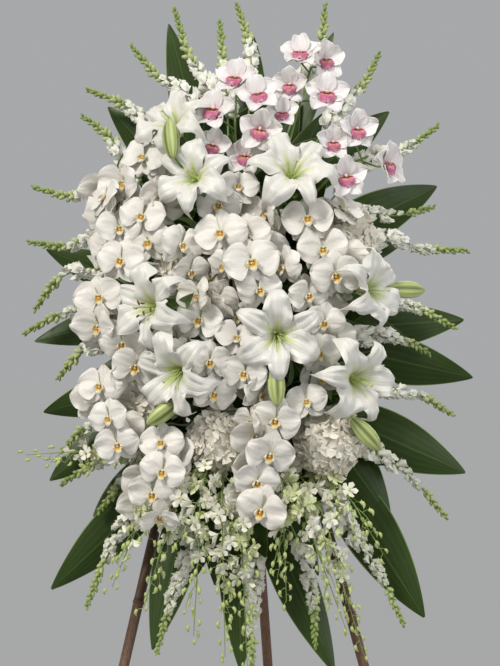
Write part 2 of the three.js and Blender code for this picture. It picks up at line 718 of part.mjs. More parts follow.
const material = (color, roughness) => new THREE.MeshStandardMaterial({ color, roughness, metalness: 0 });
const MATERIALS = {
  bamboo: material(0x8a6244, 0.6),
  raffia: material(0xb59a68, 0.9),
  foam: material(0x2f5a36, 0.95),
  cage: material(0x1f4a2a, 0.6),
  tie: material(0x1c1c1c, 0.5),
  leaf: material(0x1f4a1c, 0.4),
  snapdragon: material(0xd9dcb4, 0.7),
  phalaenopsis: material(0xf4f1ee, 0.6),
  cymbidium: material(0xf3dfe0, 0.6),
  lily: material(0xf6f5ee, 0.6),
  hydrangea: material(0xeeebdf, 0.8),
  cascade: material(0xe6ebcf, 0.7),
};

// Orchids. The spike rises from the foam, arches over, and carries its flowers on short pedicels.
const PEDICEL_BEHIND = 30;
const PHALAENOPSIS_SCALE = 1.12;
const CYMBIDIUM_SCALE = 1.16;
const orchidFrame = ([x, z, turn, nod, , lift]) =>
  facing(onDome(x, z, lift), turn + domeTurn(x), nod + domeNod(z));
const behind = (row, distance) => vec(0, 0, -distance).applyMatrix4(orchidFrame(row));

for (const [name, { root, stems, blooms, routes }] of Object.entries(PHALAENOPSIS)) {
  const start = fromPeg(frontRoot(root));
  const pedicel = (i, shift) => PEDICEL_BEHIND + (i % 2) * 4 - shift;
  const stemShapes = (shift) =>
    routes.map((route, r) => {
      const climb = stems[r].map(([x, z]) => onDome(x, z, -PEDICEL_BEHIND - 10 + shift));
      const trail = route.map((i) => behind(blooms[i], pedicel(i, shift)));
      return tube([...start.slice(r ? 1 : 0), ...climb, ...trail], (u) => 3.8 - 0.8 * u, 3);
    });
  const heads = (shift) =>
    blooms.map((row, i) =>
      moved(phalaenopsisBloom(PHALAENOPSIS_SCALE * row[4], pedicel(i, shift)), orchidFrame(row)),
    );
  addNode(`phalaenopsis_${name}`, "phalaenopsis", frontRoot(root), stemShapes, heads);
}

for (const [name, { root, stem, blooms }] of Object.entries(CYMBIDIUM)) {
  const pathAt = (shift) => [
    ...fromPeg(frontRoot(root)),
    ...stem.map(([x, z]) => onDome(x, z, -PEDICEL_BEHIND + shift)),
  ];
  const stemShapes = (shift) => [tube(pathAt(shift), (u) => 4.4 - u, 3)];
  const heads = (shift) => {
    const upper = pathAt(shift).slice(2);
    const forks = Array.from({ length: 17 }, (_, i) => {
      const along = ((upper.length - 1) * i) / 16;
      const k = Math.min(upper.length - 2, Math.floor(along));
      return upper[k].clone().lerp(upper[k + 1], along - k);
    });
    return blooms.map((row) => {
      const back = behind(row, 0);
      const far = (p) => p.distanceTo(back) + 1.4 * Math.max(0, p.z - back.z);
      const fork = forks.reduce((best, p) => (far(p) < far(best) ? p : best));
      return cymbidiumBloom(CYMBIDIUM_SCALE * row[4], orchidFrame(row), fork);
    });
  };
  addNode(`cymbidium_${name}`, "cymbidium", frontRoot(root), stemShapes, heads);
}

for (const [name, { root, blooms, buds }] of Object.entries(LILIES)) {
  const start = fromPeg(frontRoot(root));
  const frames = blooms.map(([x, z, turn, nod, roll, length, lift]) =>
    facing(onDome(x, z, lift - 0.4 * length), turn + domeTurn(x), nod + domeNod(z), roll),
  );
  const budEnds = buds.map(([footX, footZ, tipX, tipZ, stand]) => [
    onDome(footX, footZ, stand - 34),
    onDome(tipX, tipZ, stand - 22),
  ]);
  const stemShapes = (shift) => {
    const ends = blooms.map(([, , , , , length], i) => [
      vec(shift, 0, -0.5 * length).applyMatrix4(frames[i]),
      vec(0, 0, -0.1 * length).applyMatrix4(frames[i]),
    ]);
    const trunk = [...start, ...ends[ends.length - 1]];
    const branches = ends.slice(0, -1).map((end) => tube([trunk[1], ...end], 3.4, 3));
    const budStems = budEnds.map(([foot, tip]) => {
      const bend = trunk[2].clone().lerp(foot, 0.5).add(vec(0, -6 - shift / 3, 0));
      return tube([trunk[2], bend, foot.clone().lerp(tip, 0.1)], 2.6, 3);
    });
    return [tube(trunk, 3.8, 3), ...branches, ...budStems];
  };
  const heads = blooms.flatMap(([, , , , , length], i) =>
    [lilyBloom(length), ...lilyNeedles(length)].map((shape) => moved(shape, frames[i])),
  );
  for (const [foot, tip] of budEnds) heads.push(bud(foot, tip, 15, 6));
  addNode(`lily_${name}`, "lily", frontRoot(root), stemShapes, heads);
}

for (const [name, { root, heads }] of Object.entries(HYDRANGEAS)) {
  const middles = heads.map(([x, z, , sunk]) => onDome(x, z, -sunk));
  const stemShapes = (shift) =>
    middles.map((middle) => tube([...fromPeg(frontRoot(root), 16 + shift / 4), middle], 3.8, 3));
  const round = heads.map((row, i) => hydrangeaHead(middles[i], row[2]));
  addNode(`hydrangea_${name}`, "hydrangea", frontRoot(root), stemShapes, round);
}

// Snapdragons and leaves fan out behind the dome, from the four edges of the foam.
const SNAPDRAGON_ROOT = 78;
const LEAF_ROOT = 36;
for (const [name, { root, stems }] of Object.entries(SNAPDRAGONS)) {
  const start = fromPeg(edgeRoot(root, SNAPDRAGON_ROOT));
  const spire = (shift) => ([tipX, tipZ, footX, footZ, bow], i) => {
    const tip = place(tipX, tipZ, SNAPDRAGON_DEPTH - 6 + shift);
    const foot = place(footX, footZ, SNAPDRAGON_DEPTH);
    const middle = foot.clone().lerp(tip, 0.5);
    const sideways = vec(tip.z - foot.z, 0, foot.x - tip.x).normalize();
    middle.addScaledVector(sideways, bow * CM);
    const length = foot.distanceTo(tip) + 24;
    return snapdragon([start[0], ...(i ? [] : [start[1]]), foot, middle, tip], length);
  };
  const shapes = (shift) => stems.map(spire(shift));
  addNode(`snapdragon_${name}`, "snapdragon", edgeRoot(root, SNAPDRAGON_ROOT), shapes, []);
}

const LEAF_LENGTH = 380;
for (const [name, { root, leaves }] of Object.entries(LEAVES)) {
  const blade = (shift) => ([tipX, tipZ, width, roll, layer], i) => {
    const depth = LEAF_LAYERS[layer] + shift / 2;
    const tip = place(tipX, tipZ, depth);
    const start = fromPeg(edgeRoot(root, LEAF_ROOT), 8);
    const middle = start[1].clone().lerp(tip, 0.5);
    middle.y = planeY(middle.z) - depth - 12;
    const near = start[1].clone().lerp(tip, 0.18);
    near.y = planeY(near.z) - depth;
    return leafBlade([start[0], ...(i ? [] : [start[1]]), near, middle, tip], width, roll, LEAF_LENGTH);
  };
  const shapes = (shift) => leaves.map(blade(shift));
  addNode(`leaves_${name}`, "leaf", edgeRoot(root, LEAF_ROOT), shapes, []);
}

// Hanging orchid sprays leave the foam's lower end together and fan out.
const CASCADE_ROOT = 104;
for (const [name, { root, sprays }] of Object.entries(CASCADES)) {
  const paths = (shift) => {
    const ends = sprays.map(([x, z, tipX, tipZ]) => {
      const over = onDome(x, z, -18 + shift);
      const tip = vec(tipX * CM, over.y + 6, tipZ * CM);
      return [over, over.clone().lerp(tip, 0.5).add(vec(0, -14, 0)), tip];
    });
    const start = fromPeg(edgeRoot(root, CASCADE_ROOT));
    return ends.map((end, i) => [start[0], ...(i ? [] : [start[1]]), ...end]);
  };
  const stemShapes = (shift) => paths(shift).map(cascadeSpray);
  addNode(`orchid_cascade_${name}`, "cascade", edgeRoot(root, CASCADE_ROOT), stemShapes, []);
}

// The hard parts: canes, lashing, cage, foam and ties.
const hard = new Map();

function cane(foot, top, nodesAt) {
  const along = top.clone().sub(foot);
  const up = along.clone().normalize();
  const across = up.clone().cross(vec(0.2, 1, 0)).normalize();
  const other = up.clone().cross(across);
  const start = foot.clone().addScaledVector(up, -60);
  const length = start.distanceTo(top);
  const rings = [ringAt(start, across, other, CANE_SIDES, CANE_RADIUS)];
  for (const share of nodesAt) {
    for (const [shift, swell] of [[-6, 0], [0, CANE_NODE_SWELL]]) {
      const level = start.clone().addScaledVector(up, length * share + shift);
      rings.push(ringAt(level, across, other, CANE_SIDES, CANE_RADIUS + swell));
    }
  }
  rings.push(ringAt(top, across, other, CANE_SIDES, CANE_RADIUS));
  return stack(rings);
}

const floorBlock = fromGeometry(new THREE.BoxGeometry(3000, 3000, 400).translate(0, 0, -200));
const leanUp = (foot, apex, beyond) =>
  apex.clone().addScaledVector(apex.clone().sub(foot).normalize(), beyond);
const CANE_PAIR = CANE_RADIUS * 1.06 + 0.4;
const CANES = {
  left: {
    foot: vec(LEFT_FOOT_X, -FRONT_REACH, 0),
    apex: vec(APEX_X - CANE_PAIR, 0, APEX_HEIGHT),
    joints: [0.2, 0.42, 0.63, 0.83],
  },
  right: {
    foot: vec(RIGHT_FOOT_X, -FRONT_REACH, 0),
    apex: vec(APEX_X + CANE_PAIR, 0, APEX_HEIGHT),
    joints: [0.16, 0.4, 0.6, 0.8],
  },
  back: {
    foot: vec(BACK_FOOT_X, BACK_REACH, 0),
    apex: vec(APEX_X, CANE_RADIUS * 1.8 + 3, APEX_HEIGHT),
    joints: [0.24, 0.46, 0.66, 0.85],
  },
};
for (const [name, { foot, apex, joints }] of Object.entries(CANES)) {
  const beyond = name === "back" ? CANE_OVERRUN : 4;
  const shape = cane(foot, leanUp(foot, apex, beyond), joints);
  CANES[name].shape = shape;
  const whole = solid(shape.vertices, shape.faces);
  hard.set(`easel_cane_${name}`, { material: "bamboo", solid: whole.subtract(floorBlock) });
}

// The lashing: a rounded band round the three canes, below the apex, cut clear of them.
const LASHING_BELOW = 34;
const LASHING_HEIGHT = 26;
const lashingShape = new THREE.Shape();
lashingShape.absellipse(0, 0, CANE_RADIUS * 3.5, CANE_RADIUS * 2.9, 0, 2 * Math.PI, false, 0);
let lashing = fromGeometry(
  new THREE.ExtrudeGeometry(lashingShape, { depth: LASHING_HEIGHT, bevelEnabled: false, curveSegments: 5 })
    .translate(APEX_X, 10, APEX_HEIGHT - LASHING_BELOW - LASHING_HEIGHT / 2),
);
for (const { shape } of Object.values(CANES)) {
  lashing = lashing.subtract(solid(shape.vertices, shape.faces, CLEARANCE));
}
hard.set("apex_lashing", { material: "raffia", solid: lashing });

// The cage: a back tray with a low rim and two lugs, and hoops over the foam.
const box = (u0, u1, v0, v1, w0, w1) =>
  fromGeometry(
    new THREE.BoxGeometry(u1 - u0, v1 - v0, w1 - w0)
      .translate((u0 + u1) / 2, (v0 + v1) / 2, (w0 + w1) / 2)
      .applyMatrix4(foamFrame),
  );
const halfU = FOAM_WIDTH / 2 + CLEARANCE;
const halfV = FOAM_LENGTH / 2 + CLEARANCE;
const trayBack = FOAM_BACK - CLEARANCE - CAGE_WALL;
const rimFront = FOAM_BACK + 14;
const hoopFront = FOAM_FRONT + CLEARANCE;
const [outU, outV] = [halfU + CAGE_WALL, halfV + CAGE_WALL];
let cage = box(-outU, outU, -outV, outV, trayBack, rimFront)
  .add(box(-halfU * 0.4, halfU * 0.4, halfV, halfV + CAGE_LUG, trayBack, trayBack + CAGE_WALL))
  .add(box(-STRAP_REACH, STRAP_REACH, -halfV - CAGE_LUG, -halfV, trayBack, trayBack + CAGE_WALL));
for (const v of CAGE_HOOPS) {
  const [low, high] = [v - HOOP_WIDTH / 2, v + HOOP_WIDTH / 2];
  cage = cage.add(box(-outU, outU, low, high, trayBack, hoopFront + CAGE_WALL));
}
cage = cage.subtract(box(-halfU, halfU, -halfV, halfV, FOAM_BACK - CLEARANCE, hoopFront));
let foam = box(-FOAM_WIDTH / 2, FOAM_WIDTH / 2, -FOAM_LENGTH / 2, FOAM_LENGTH / 2, FOAM_BACK, FOAM_FRONT);

// Ties hold the cage. One goes round both front canes and the upper lug, and one round each front cane
// lower down, through two slots in the strap.
const TIE_ROOM = CANE_RADIUS + CANE_NODE_SWELL + 0.6;
const TIE_WALL = 2;
const TIE_HALF_HEIGHT = 2.4;
const tieFront = trayBack + CAGE_WALL + CLEARANCE;
const flat = (x, y) => new THREE.Vector2(x, y);

function tie(frame, halfAcross, grow = 0) {
  const wall = TIE_WALL + grow;
  const [a, back, front] = [halfAcross + wall, -TIE_ROOM - wall, tieFront + wall];
  const [c, innerBack, innerFront] = [halfAcross - grow, -TIE_ROOM + grow, tieFront - grow];
  const shape = new THREE.Shape([flat(-a, back), flat(a, back), flat(a, front), flat(-a, front)]);
  const inside = [flat(-c, innerBack), flat(-c, innerFront), flat(c, innerFront), flat(c, innerBack)];
  shape.holes.push(new THREE.Path(inside));
  const half = TIE_HALF_HEIGHT + grow;
  const band = new THREE.ExtrudeGeometry(shape, { depth: 2 * half, bevelEnabled: false });
  return fromGeometry(band.translate(0, 0, -half).applyMatrix4(frame));
}

const caneAt = ({ foot, apex }, height) => foot.clone().lerp(apex, height / APEX_HEIGHT);
const upperHeight = inFoam(0, halfV + CAGE_LUG * 0.5, 0).z;
const [upperLeft, upperRight] = [caneAt(CANES.left, upperHeight), caneAt(CANES.right, upperHeight)];
const upperFrame = new THREE.Matrix4()
  .makeBasis(X, outOfLean, X.clone().cross(outOfLean))
  .setPosition(upperLeft.clone().lerp(upperRight, 0.5));
const upperHalf = upperLeft.distanceTo(upperRight) / 2 + TIE_ROOM;
hard.set("cage_tie_upper", { material: "tie", solid: tie(upperFrame, upperHalf) });

for (const name of ["left", "right"]) {
  const { foot, apex } = CANES[name];
  const up = apex.clone().sub(foot).normalize();
  const side = up.clone().cross(outOfLean).normalize();
  const frame = new THREE.Matrix4()
    .makeBasis(side, outOfLean, side.clone().cross(outOfLean))
    .setPosition(caneAt(CANES[name], inFoam(0, -halfV - CAGE_LUG * 0.5, 0).z));
  hard.set(`cage_tie_lower_${name}`, { material: "tie", solid: tie(frame, TIE_ROOM) });
  cage = cage.subtract(tie(frame, TIE_ROOM, 0.5));
}

// Settles each node's stems clear of the ones before, and joins its heads.
const BENDS = [0, 8, -8, 16, -16, 24, -24, 32, -32];
const join = (shapes, grow = 0) =>
  shapes.map((s) => solid(s.vertices, s.faces, grow)).reduce((sum, s) => sum.add(s));
const meets = (a, b) => {
  const [p, q] = [a.boundingBox(), b.boundingBox()];
  return [0, 1, 2].every((i) => p.min[i] < q.max[i] && q.min[i] < p.max[i]);
};
const crossing = (a, b) => (meets(a, b) ? a.intersect(b).volume() : 0);
const cutBy = (body, cutter) => (body && cutter && meets(body, cutter) ? body.subtract(cutter) : body);
const biggest = (body) => body.decompose().reduce((best, b) => (b.volume() > best.volume() ? b : best));

const settled = [];
for (const node of nodes) {
  const shapesAt = (bend) => [peg(node.root), ...node.stems(bend)];
  const clear = (bend) => {
    const stem = join(shapesAt(bend));
    return settled.every((other) => crossing(stem, other.stemCutter) < 1e-3);
  };
  const bend = BENDS.find(clear) ?? 0;
  const heads = typeof node.heads === "function" ? node.heads(bend) : node.heads;
  settled.push({
    ...node,
    bend,
    stem: join(shapesAt(bend)),
    stemCutter: join(shapesAt(bend), CLEARANCE),
    head: heads.length ? join(heads) : null,
    headCutter: heads.length ? join(heads, CLEARANCE) : null,
  });
}

const SMALLEST_DETAIL = 0.03;
const group = new THREE.Group();
function addMesh(name, body, materialName) {
  const { numProp, vertProperties, triVerts, numVert } = body.asOriginal().simplify(SMALLEST_DETAIL).getMesh();
  const positions = new Float32Array(numVert * 3);
  for (let i = 0; i < numVert; i++) {
    positions.set(vertProperties.subarray(i * numProp, i * numProp + 3), i * 3);
  }
  const geometry = new THREE.BufferGeometry()
    .setAttribute("position", new THREE.BufferAttribute(positions, 3))
    .setIndex(new THREE.BufferAttribute(triVerts, 1));
  geometry.computeVertexNormals();
  const mesh = new THREE.Mesh(geometry, MATERIALS[materialName]);
  mesh.name = name;
  group.add(mesh);
}

settled.forEach((node, i) => {
  let head = node.head;
  settled.forEach((other, j) => {
    if (i === j) return;
    head = cutBy(head, other.stemCutter);
    if (j < i) head = cutBy(head, other.headCutter);
  });
  const body = biggest(head ? node.stem.add(head) : node.stem);
  addMesh(node.name, body, node.material);
  const hole = peg(node.root, 0.5);
  foam = cutBy(foam, solid(hole.vertices, hole.faces));
  cage = cutBy(cage, solid(hole.vertices, hole.faces));
});

hard.set("foam_cage", { material: "cage", solid: cage });
hard.set("foam_brick", { material: "foam", solid: foam });
for (const [name, part] of hard) addMesh(name, part.solid, part.material);

// The origin goes under the middle of the whole, on the floor.
const bounds = new THREE.Box3().setFromObject(group);
const middle = bounds.getCenter(vec(0, 0, 0));
group.position.set(-middle.x, -middle.y, 0);

export default group;
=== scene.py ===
import json
import math

import bpy
import numpy as np
from bpy.props import FloatProperty, FloatVectorProperty, IntProperty, PointerProperty
from mathutils import Matrix, Vector

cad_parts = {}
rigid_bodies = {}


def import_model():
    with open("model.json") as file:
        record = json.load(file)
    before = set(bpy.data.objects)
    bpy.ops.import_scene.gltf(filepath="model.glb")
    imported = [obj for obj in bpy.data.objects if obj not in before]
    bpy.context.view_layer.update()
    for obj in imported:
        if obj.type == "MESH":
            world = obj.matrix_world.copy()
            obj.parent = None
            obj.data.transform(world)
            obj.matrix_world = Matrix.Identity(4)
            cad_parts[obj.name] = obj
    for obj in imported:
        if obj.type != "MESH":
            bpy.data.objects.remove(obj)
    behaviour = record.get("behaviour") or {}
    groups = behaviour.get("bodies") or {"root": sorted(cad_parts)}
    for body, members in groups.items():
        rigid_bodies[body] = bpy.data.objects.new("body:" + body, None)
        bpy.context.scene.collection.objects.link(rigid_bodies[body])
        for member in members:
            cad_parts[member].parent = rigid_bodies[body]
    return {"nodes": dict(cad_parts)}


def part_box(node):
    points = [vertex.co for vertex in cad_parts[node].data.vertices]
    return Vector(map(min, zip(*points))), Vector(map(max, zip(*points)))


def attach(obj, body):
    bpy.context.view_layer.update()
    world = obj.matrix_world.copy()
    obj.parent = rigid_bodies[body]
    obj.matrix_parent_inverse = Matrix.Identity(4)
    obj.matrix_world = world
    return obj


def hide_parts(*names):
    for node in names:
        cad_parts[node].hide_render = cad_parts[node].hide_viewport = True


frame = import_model()

bl_info = {
    "name": "Standing funeral spray",
    "version": (1, 0, 0),
    "blender": (4, 5, 0),
    "location": "3D View > Sidebar > Spray",
    "description": "Flowers, leaves, canes and foam of a standing spray, grown on its packed frame",
    "category": "Object",
}

# Layout. Places are in centimetres: x from the middle, z above the floor. Angles are in degrees, lengths
# and depths in millimetres, and depth is measured forwards from the plane of the two front canes.
CM = 10
METRES = 0.001
APEX_HEIGHT = 1290
APEX_X = -30
FRONT_REACH = 310
LEAN = FRONT_REACH / APEX_HEIGHT
FOAM_WIDTH, FOAM_LENGTH = 150, 400
FOAM_MIDDLE_HEIGHT = 1025
FOAM_BACK, FOAM_FRONT = 15.45, 115.45
STEM_IN_FOAM = 32
PEG_OUT = 12
PEG_RADIUS = 4.6
PEG_STEP_ACROSS, PEG_STEP_UP = 18.5, 10
DOME_X, DOME_Z = -10, 1070
DOME_HALF_X, DOME_HALF_Z = 400, 560
RIM_DEPTH, DOME_DEPTH = 110, 190
DOME_TURN, DOME_NOD = 26, 22
STEM_POINTS, LEAF_POINTS = 60, 121
GOLDEN_ANGLE = 2.39996
FULL_TURN = 6.283

# A bloom is x, z, turn, nod, width and how far it stands in front of the dome. A stem is the places that it
# passes before its first bloom, and a route is the order in which it then passes its blooms.
PHALAENOPSIS = {
    "upper_left": {
        "root": (-3, 17),
        "stems": [[(-8.5, 141), (-14, 145), (-19, 142)], [(-11, 138), (-20, 143), (-26, 136)]],
        "blooms": [
            (-20.6, 137.2, -5, 5, 80, 16), (-17.6, 130, 32, -5, 66, 2), (-20.8, 125.6, 10, 0, 80, 14),
            (-19.6, 120.6, 5, 5, 84, -2), (-24.4, 132.4, -20, 0, 84, 0), (-28, 129.6, -30, 22, 80, 16),
            (-25.2, 123.4, 8, 5, 76, 2), (-24.8, 117.2, -5, 0, 82, 14),
        ],
        "routes": [[0, 1, 2, 3], [4, 5, 6, 7]],
    },
    "left": {
        "root": (-3, 5),
        "stems": [[(-16, 114), (-25, 115), (-27, 112)]],
        "blooms": [
            (-29, 110.2, 8, 0, 80, 2), (-29, 104.6, -10, 0, 80, 0), (-24.4, 101.4, 5, -8, 76, 4),
            (-21.8, 97, 5, 0, 80, 2), (-28.6, 93.2, -5, 5, 78, 8), (-26.8, 87.2, -5, 0, 74, 20),
            (-25.2, 82.2, 0, 0, 78, 8),
        ],
        "routes": [[0, 1, 2, 3, 4, 5, 6]],
    },
    "centre_left": {
        "root": (-3, 1),
        "stems": [[(-8, 120), (-13, 124), (-14, 122)]],
        "blooms": [
            (-13.2, 120.2, 25, 0, 76, 6), (-11.6, 115.2, 50, -30, 66, -8), (-9.8, 110.4, -45, 0, 66, 16),
            (-9.6, 105.8, -5, 0, 84, 4), (-13, 99.2, 20, 0, 68, -6), (-7.8, 98, 22, -10, 76, 18),
            (-7, 92, 28, -10, 76, 4),
        ],
        "routes": [[0, 1, 2, 3, 4, 5, 6]],
    },
    "centre": {
        "root": (1, 9),
        "stems": [[(-4, 134), (-6, 137), (-4.5, 134)], [(2, 130), (5, 132), (5, 128)]],
        "blooms": [
            (-2.4, 131.4, 0, 14, 74, 4), (-6, 128, -18, 0, 80, -10), (-5.6, 122.4, -4, 0, 90, 16),
            (-5, 116.2, -45, 0, 66, 2), (-6, 110.2, 0, -45, 66, -14), (-2.4, 102.2, -12, 28, 76, 8),
            (-1, 95.8, -8, 0, 78, 16), (3.2, 126.4, -45, 0, 76, -8), (-0.8, 121.8, 2, 10, 84, 0),
            (0.2, 116.8, 0, 0, 94, 22), (6.4, 116, -50, -10, 76, 4), (1.6, 111.6, 16, -6, 76, 0),
            (2, 92, 34, -6, 72, -2),
        ],
        "routes": [[0, 1, 2, 3, 4, 5, 6, 12], [7, 8, 9, 10, 11]],
    },
    "right": {
        "root": (3, 3),
        "stems": [[(13, 122), (17, 128), (18, 127)]],
        "blooms": [
            (17.6, 127.2, 38, 26, 74, 0), (11, 125.2, 0, 0, 84, 8), (14, 119.4, -12, 0, 84, -6),
            (16.2, 114.4, 5, 0, 88, 18), (11, 110.6, 0, -20, 74, 0), (14, 105.4, 0, 0, 72, 12),
            (13, 99.6, 4, 0, 78, 0), (10.6, 90.4, 0, 32, 72, 4),
        ],
        "routes": [[0, 1, 2, 3, 4, 5, 6, 7]],
    },
    "lower_left": {
        "root": (-3, -13),
        "stems": [[(-12, 86), (-16, 86), (-17, 84)]],
        "blooms": [
            (-16.8, 82.6, 0, 22, 74, 0), (-16.6, 77.2, 5, 0, 78, 14), (-18.6, 73, -4, 0, 80, 4),
            (-17.2, 68.8, 0, -28, 64, 10),
        ],
        "routes": [[0, 1, 2, 3]],
    },
    "lower_centre": {
        "root": (1, -11),
        "stems": [[(2, 90), (3, 91), (3, 89)]],
        "blooms": [
            (0.4, 86.8, -36, 0, 60, -4), (4.8, 87, -4, 0, 84, 12), (3.6, 80.6, 5, 0, 84, 22),
            (1.2, 75.4, 0, 0, 80, 8), (2, 70, 0, -5, 84, 20),
        ],
        "routes": [[0, 1, 2, 3, 4]],
    },
}
PEDICEL_BEHIND = 30
PHALAENOPSIS_SCALE = 1.12

# A shift sets a stem further back, clear of its neighbours.
CYMBIDIUM = {
    "left": {
        "root": (-1, 17), "stem": [(-2.2, 133), (-3, 142), (-2.8, 150)], "shift": -16,
        "blooms": [
            (-6.8, 146, -10, 5, 68, 22), (-2.8, 152.4, -8, 10, 64, 14), (1.4, 149, 8, 5, 66, 24),
            (1.8, 142.6, 5, -5, 64, 10), (-7.4, 139.4, 0, 8, 56, -18), (-1, 137.4, 0, 0, 56, -26),
        ],
    },
    "top_right": {
        "root": (1, 17), "stem": [(6, 136), (9, 146), (12, 156)], "shift": 0,
        "blooms": [
            (9.8, 157.8, -14, 12, 62, 14), (14.4, 157, 16, 8, 60, 8), (14.8, 149.6, 8, 0, 70, 20),
            (8, 151.6, -24, 0, 58, 0), (6.2, 145.6, -10, 0, 54, -8),
        ],
    },
    "right": {
        "root": (3, 15), "stem": [(12, 130), (17, 135), (23, 138)], "shift": 0,
        "blooms": [
            (20.4, 142.6, 5, 5, 62, 12), (26, 136, 30, -6, 66, 4), (18.2, 133.2, 14, -6, 64, 14),
            (15.8, 140, 10, 0, 54, -8),
        ],
    },
}
CYMBIDIUM_SCALE = 1.3
LILY_BUD_LENGTH = 84

# A lily is x, z, turn, nod, roll, length of its tepals and stand-off. A bud is the x and z of its foot and
# of its tip, and its stand-off.
LILIES = {
    "top_left": {
        "root": (-3, 13), "blooms": [(-14, 142.6, -28, 28, 10, 86, 32), (-10.4, 132.6, -12, 12, 0, 84, 46)],
        "buds": [(-14.6, 134, -15.6, 144.5, 102)],
    },
    "top": {"root": (1, 13), "blooms": [(7.8, 133, 2, 24, 20, 96, 42)], "buds": []},
    "left": {"root": (-3, 9), "blooms": [(-17.5, 108.2, -32, 6, 10, 88, 68)], "buds": []},
    "centre": {"root": (1, 1), "blooms": [(5, 103, 0, 0, 0, 94, 52)], "buds": [(4.6, 97.4, 5, 89.6, 52)]},
    "lower_left": {
        "root": (-3, -3), "blooms": [(-12.8, 96.4, -26, -8, 12, 90, 52)], "buds": [(-13.6, 90.6, -19.6, 86.2, 44)],
    },
    "right": {
        "root": (3, -5), "blooms": [(18.8, 94.8, 20, 0, 25, 92, 44)], "buds": [(18.4, 88, 24.6, 81.2, 44)],
    },
    "upper_right": {
        "root": (3, 7), "blooms": [(21.4, 111.6, 36, 4, 0, 84, 28)], "buds": [(25.4, 111.8, 33.6, 111.6, 26)],
    },
}

# A hydrangea head is x, z, its radius and how far its middle lies behind the dome.
HYDRANGEAS = {
    "lower_right": {"root": (3, -15), "head": (15, 82.8, 64, 58)},
    "lower_centre": {"root": (-1, -9), "head": (-5.8, 83.2, 60, 66)},
    "centre": {"root": (-1, 5), "head": (-13, 115.5, 54, 74)},
    "upper_right": {"root": (3, 11), "head": (20, 122.6, 42, 74)},
    "left": {"root": (-3, -9), "head": (-21.4, 89.6, 42, 84)},
}

# A snapdragon is the x and z of its tip, then of its lowest floret, and its sideways bow. The last number
# of a group is the shift in depth that keeps its stems clear of its neighbours'.
SNAPDRAGONS = {
    "top_left": (("top", -6), [(-15.2, 168.2, -7.6, 151, -1.2), (-23.8, 160.8, -12, 150, -1)], 0),
    "top": (("top", -1), [(-6.2, 165.6, -4.8, 151, 0), (-2.8, 169.6, 0.4, 155, 0.6)], -24),
    "top_right": (("top", 5), [(15, 169, 12, 156, 0.8), (25.6, 159, 17.6, 147.6, 1)], 0),
    "upper_left": (("left", 16), [(-32.2, 151.8, -20, 143.4, 1.4), (-33.2, 146.4, -24.6, 137, 1)], 0),
    "left_high": (("left", 9), [(-42.8, 132.2, -29, 131, -1.2), (-43.4, 121.2, -29, 122.6, -1.4)], 0),
    "left": (("left", 2), [(-42.2, 108, -31, 116, 2.2), (-44, 103.4, -31, 107.8, 1.2)], 0),
    "left_low": (("left", -5), [(-37.4, 94.6, -29.6, 101, 1), (-36.4, 80.6, -28.6, 86.8, 0.8)], 0),
    "lower_left": (("left", -12), [(-36.4, 74.2, -26, 79.6, 0.6), (-29.2, 69, -22.4, 76, 0.5)], 0),
    "hanging_left": (("bottom", -4), [(-31.4, 51, -22, 70, 0.8), (-17.8, 42.4, -12, 61, 0.5)], 0),
    "hanging": (("bottom", 2), [(0.2, 37.6, 0.6, 57, 0), (12.4, 43.6, 10.4, 60, -0.6)], 0),
    "lower_right": (("right", -17), [(29.2, 47.6, 17.8, 67.6, -1), (37.6, 68, 24, 80.4, -1)], 0),
    "right_low": (("right", -7), [(39.2, 87.6, 26.6, 92.6, -1), (34.8, 99.4, 24, 103, -1)], 0),
    "right": (("right", 4), [(40, 104.4, 24, 110.4, -1), (42.4, 119.6, 26, 122, 0.8)], 0),
    "right_high": (("right", 12), [(36, 128.2, 22, 126.6, 0.8), (37, 144.4, 24, 138, 1.2)], 0),
}
SNAPDRAGON_ROOT = 78
SNAPDRAGON_DEPTH = 104
# How much of a spire has open flowers. The spires on the right and below have opened further.
SNAPDRAGON_OPEN = {"top": 0.52, "left": 0.54, "bottom": 0.66, "right": 0.68}

# A leaf is the x and z of its tip, its width, its roll about the midrib, and its layer. The last number of a
# group is twice its shift in depth.
LEAVES = {
    "top_left": (("top", -3), [(-16.6, 166.2, 78, -16, 0), (-28.6, 148.8, 76, 14, 1)], -8),
    "top": (("top", 1), [(0.6, 163.6, 78, 10, 0), (9.6, 150.6, 84, -10, 1)], 0),
    "top_right": (("top", 3), [(16.8, 164.4, 70, 24, 0), (27.8, 147.8, 84, -10, 1)], 0),
    "left_high": (("left", 6), [(-40.8, 120, 76, 12, 0), (-42.6, 101.8, 72, -10, 1)], 0),
    "left_low": (("left", -8), [(-40.8, 87.8, 80, 8, 0), (-39.2, 74.6, 84, -8, 1)], 0),
    "hanging_left": (("bottom", -6), [(-38.6, 53.8, 92, 10, 1), (-19, 42, 84, -8, 0)], 0),
    "hanging": (("bottom", 0), [(-1.8, 37.8, 78, 0, 0), (16.2, 38, 84, 8, 1)], 0),
    "right_high": (("right", 15), [(37.4, 132.8, 98, -12, 0), (30.8, 121.8, 82, 14, 1)], 0),
    "right": (("right", 0), [(42.4, 106, 94, 10, 0), (43.8, 94.6, 98, -8, 1)], -16),
    "right_low": (("right", -12), [(42.2, 76, 108, 8, 0), (33.6, 48.4, 108, -8, 1)], 0),
}
LEAF_ROOT = 36
LEAF_LAYERS = (26, 58)
LEAF_LENGTH = 380

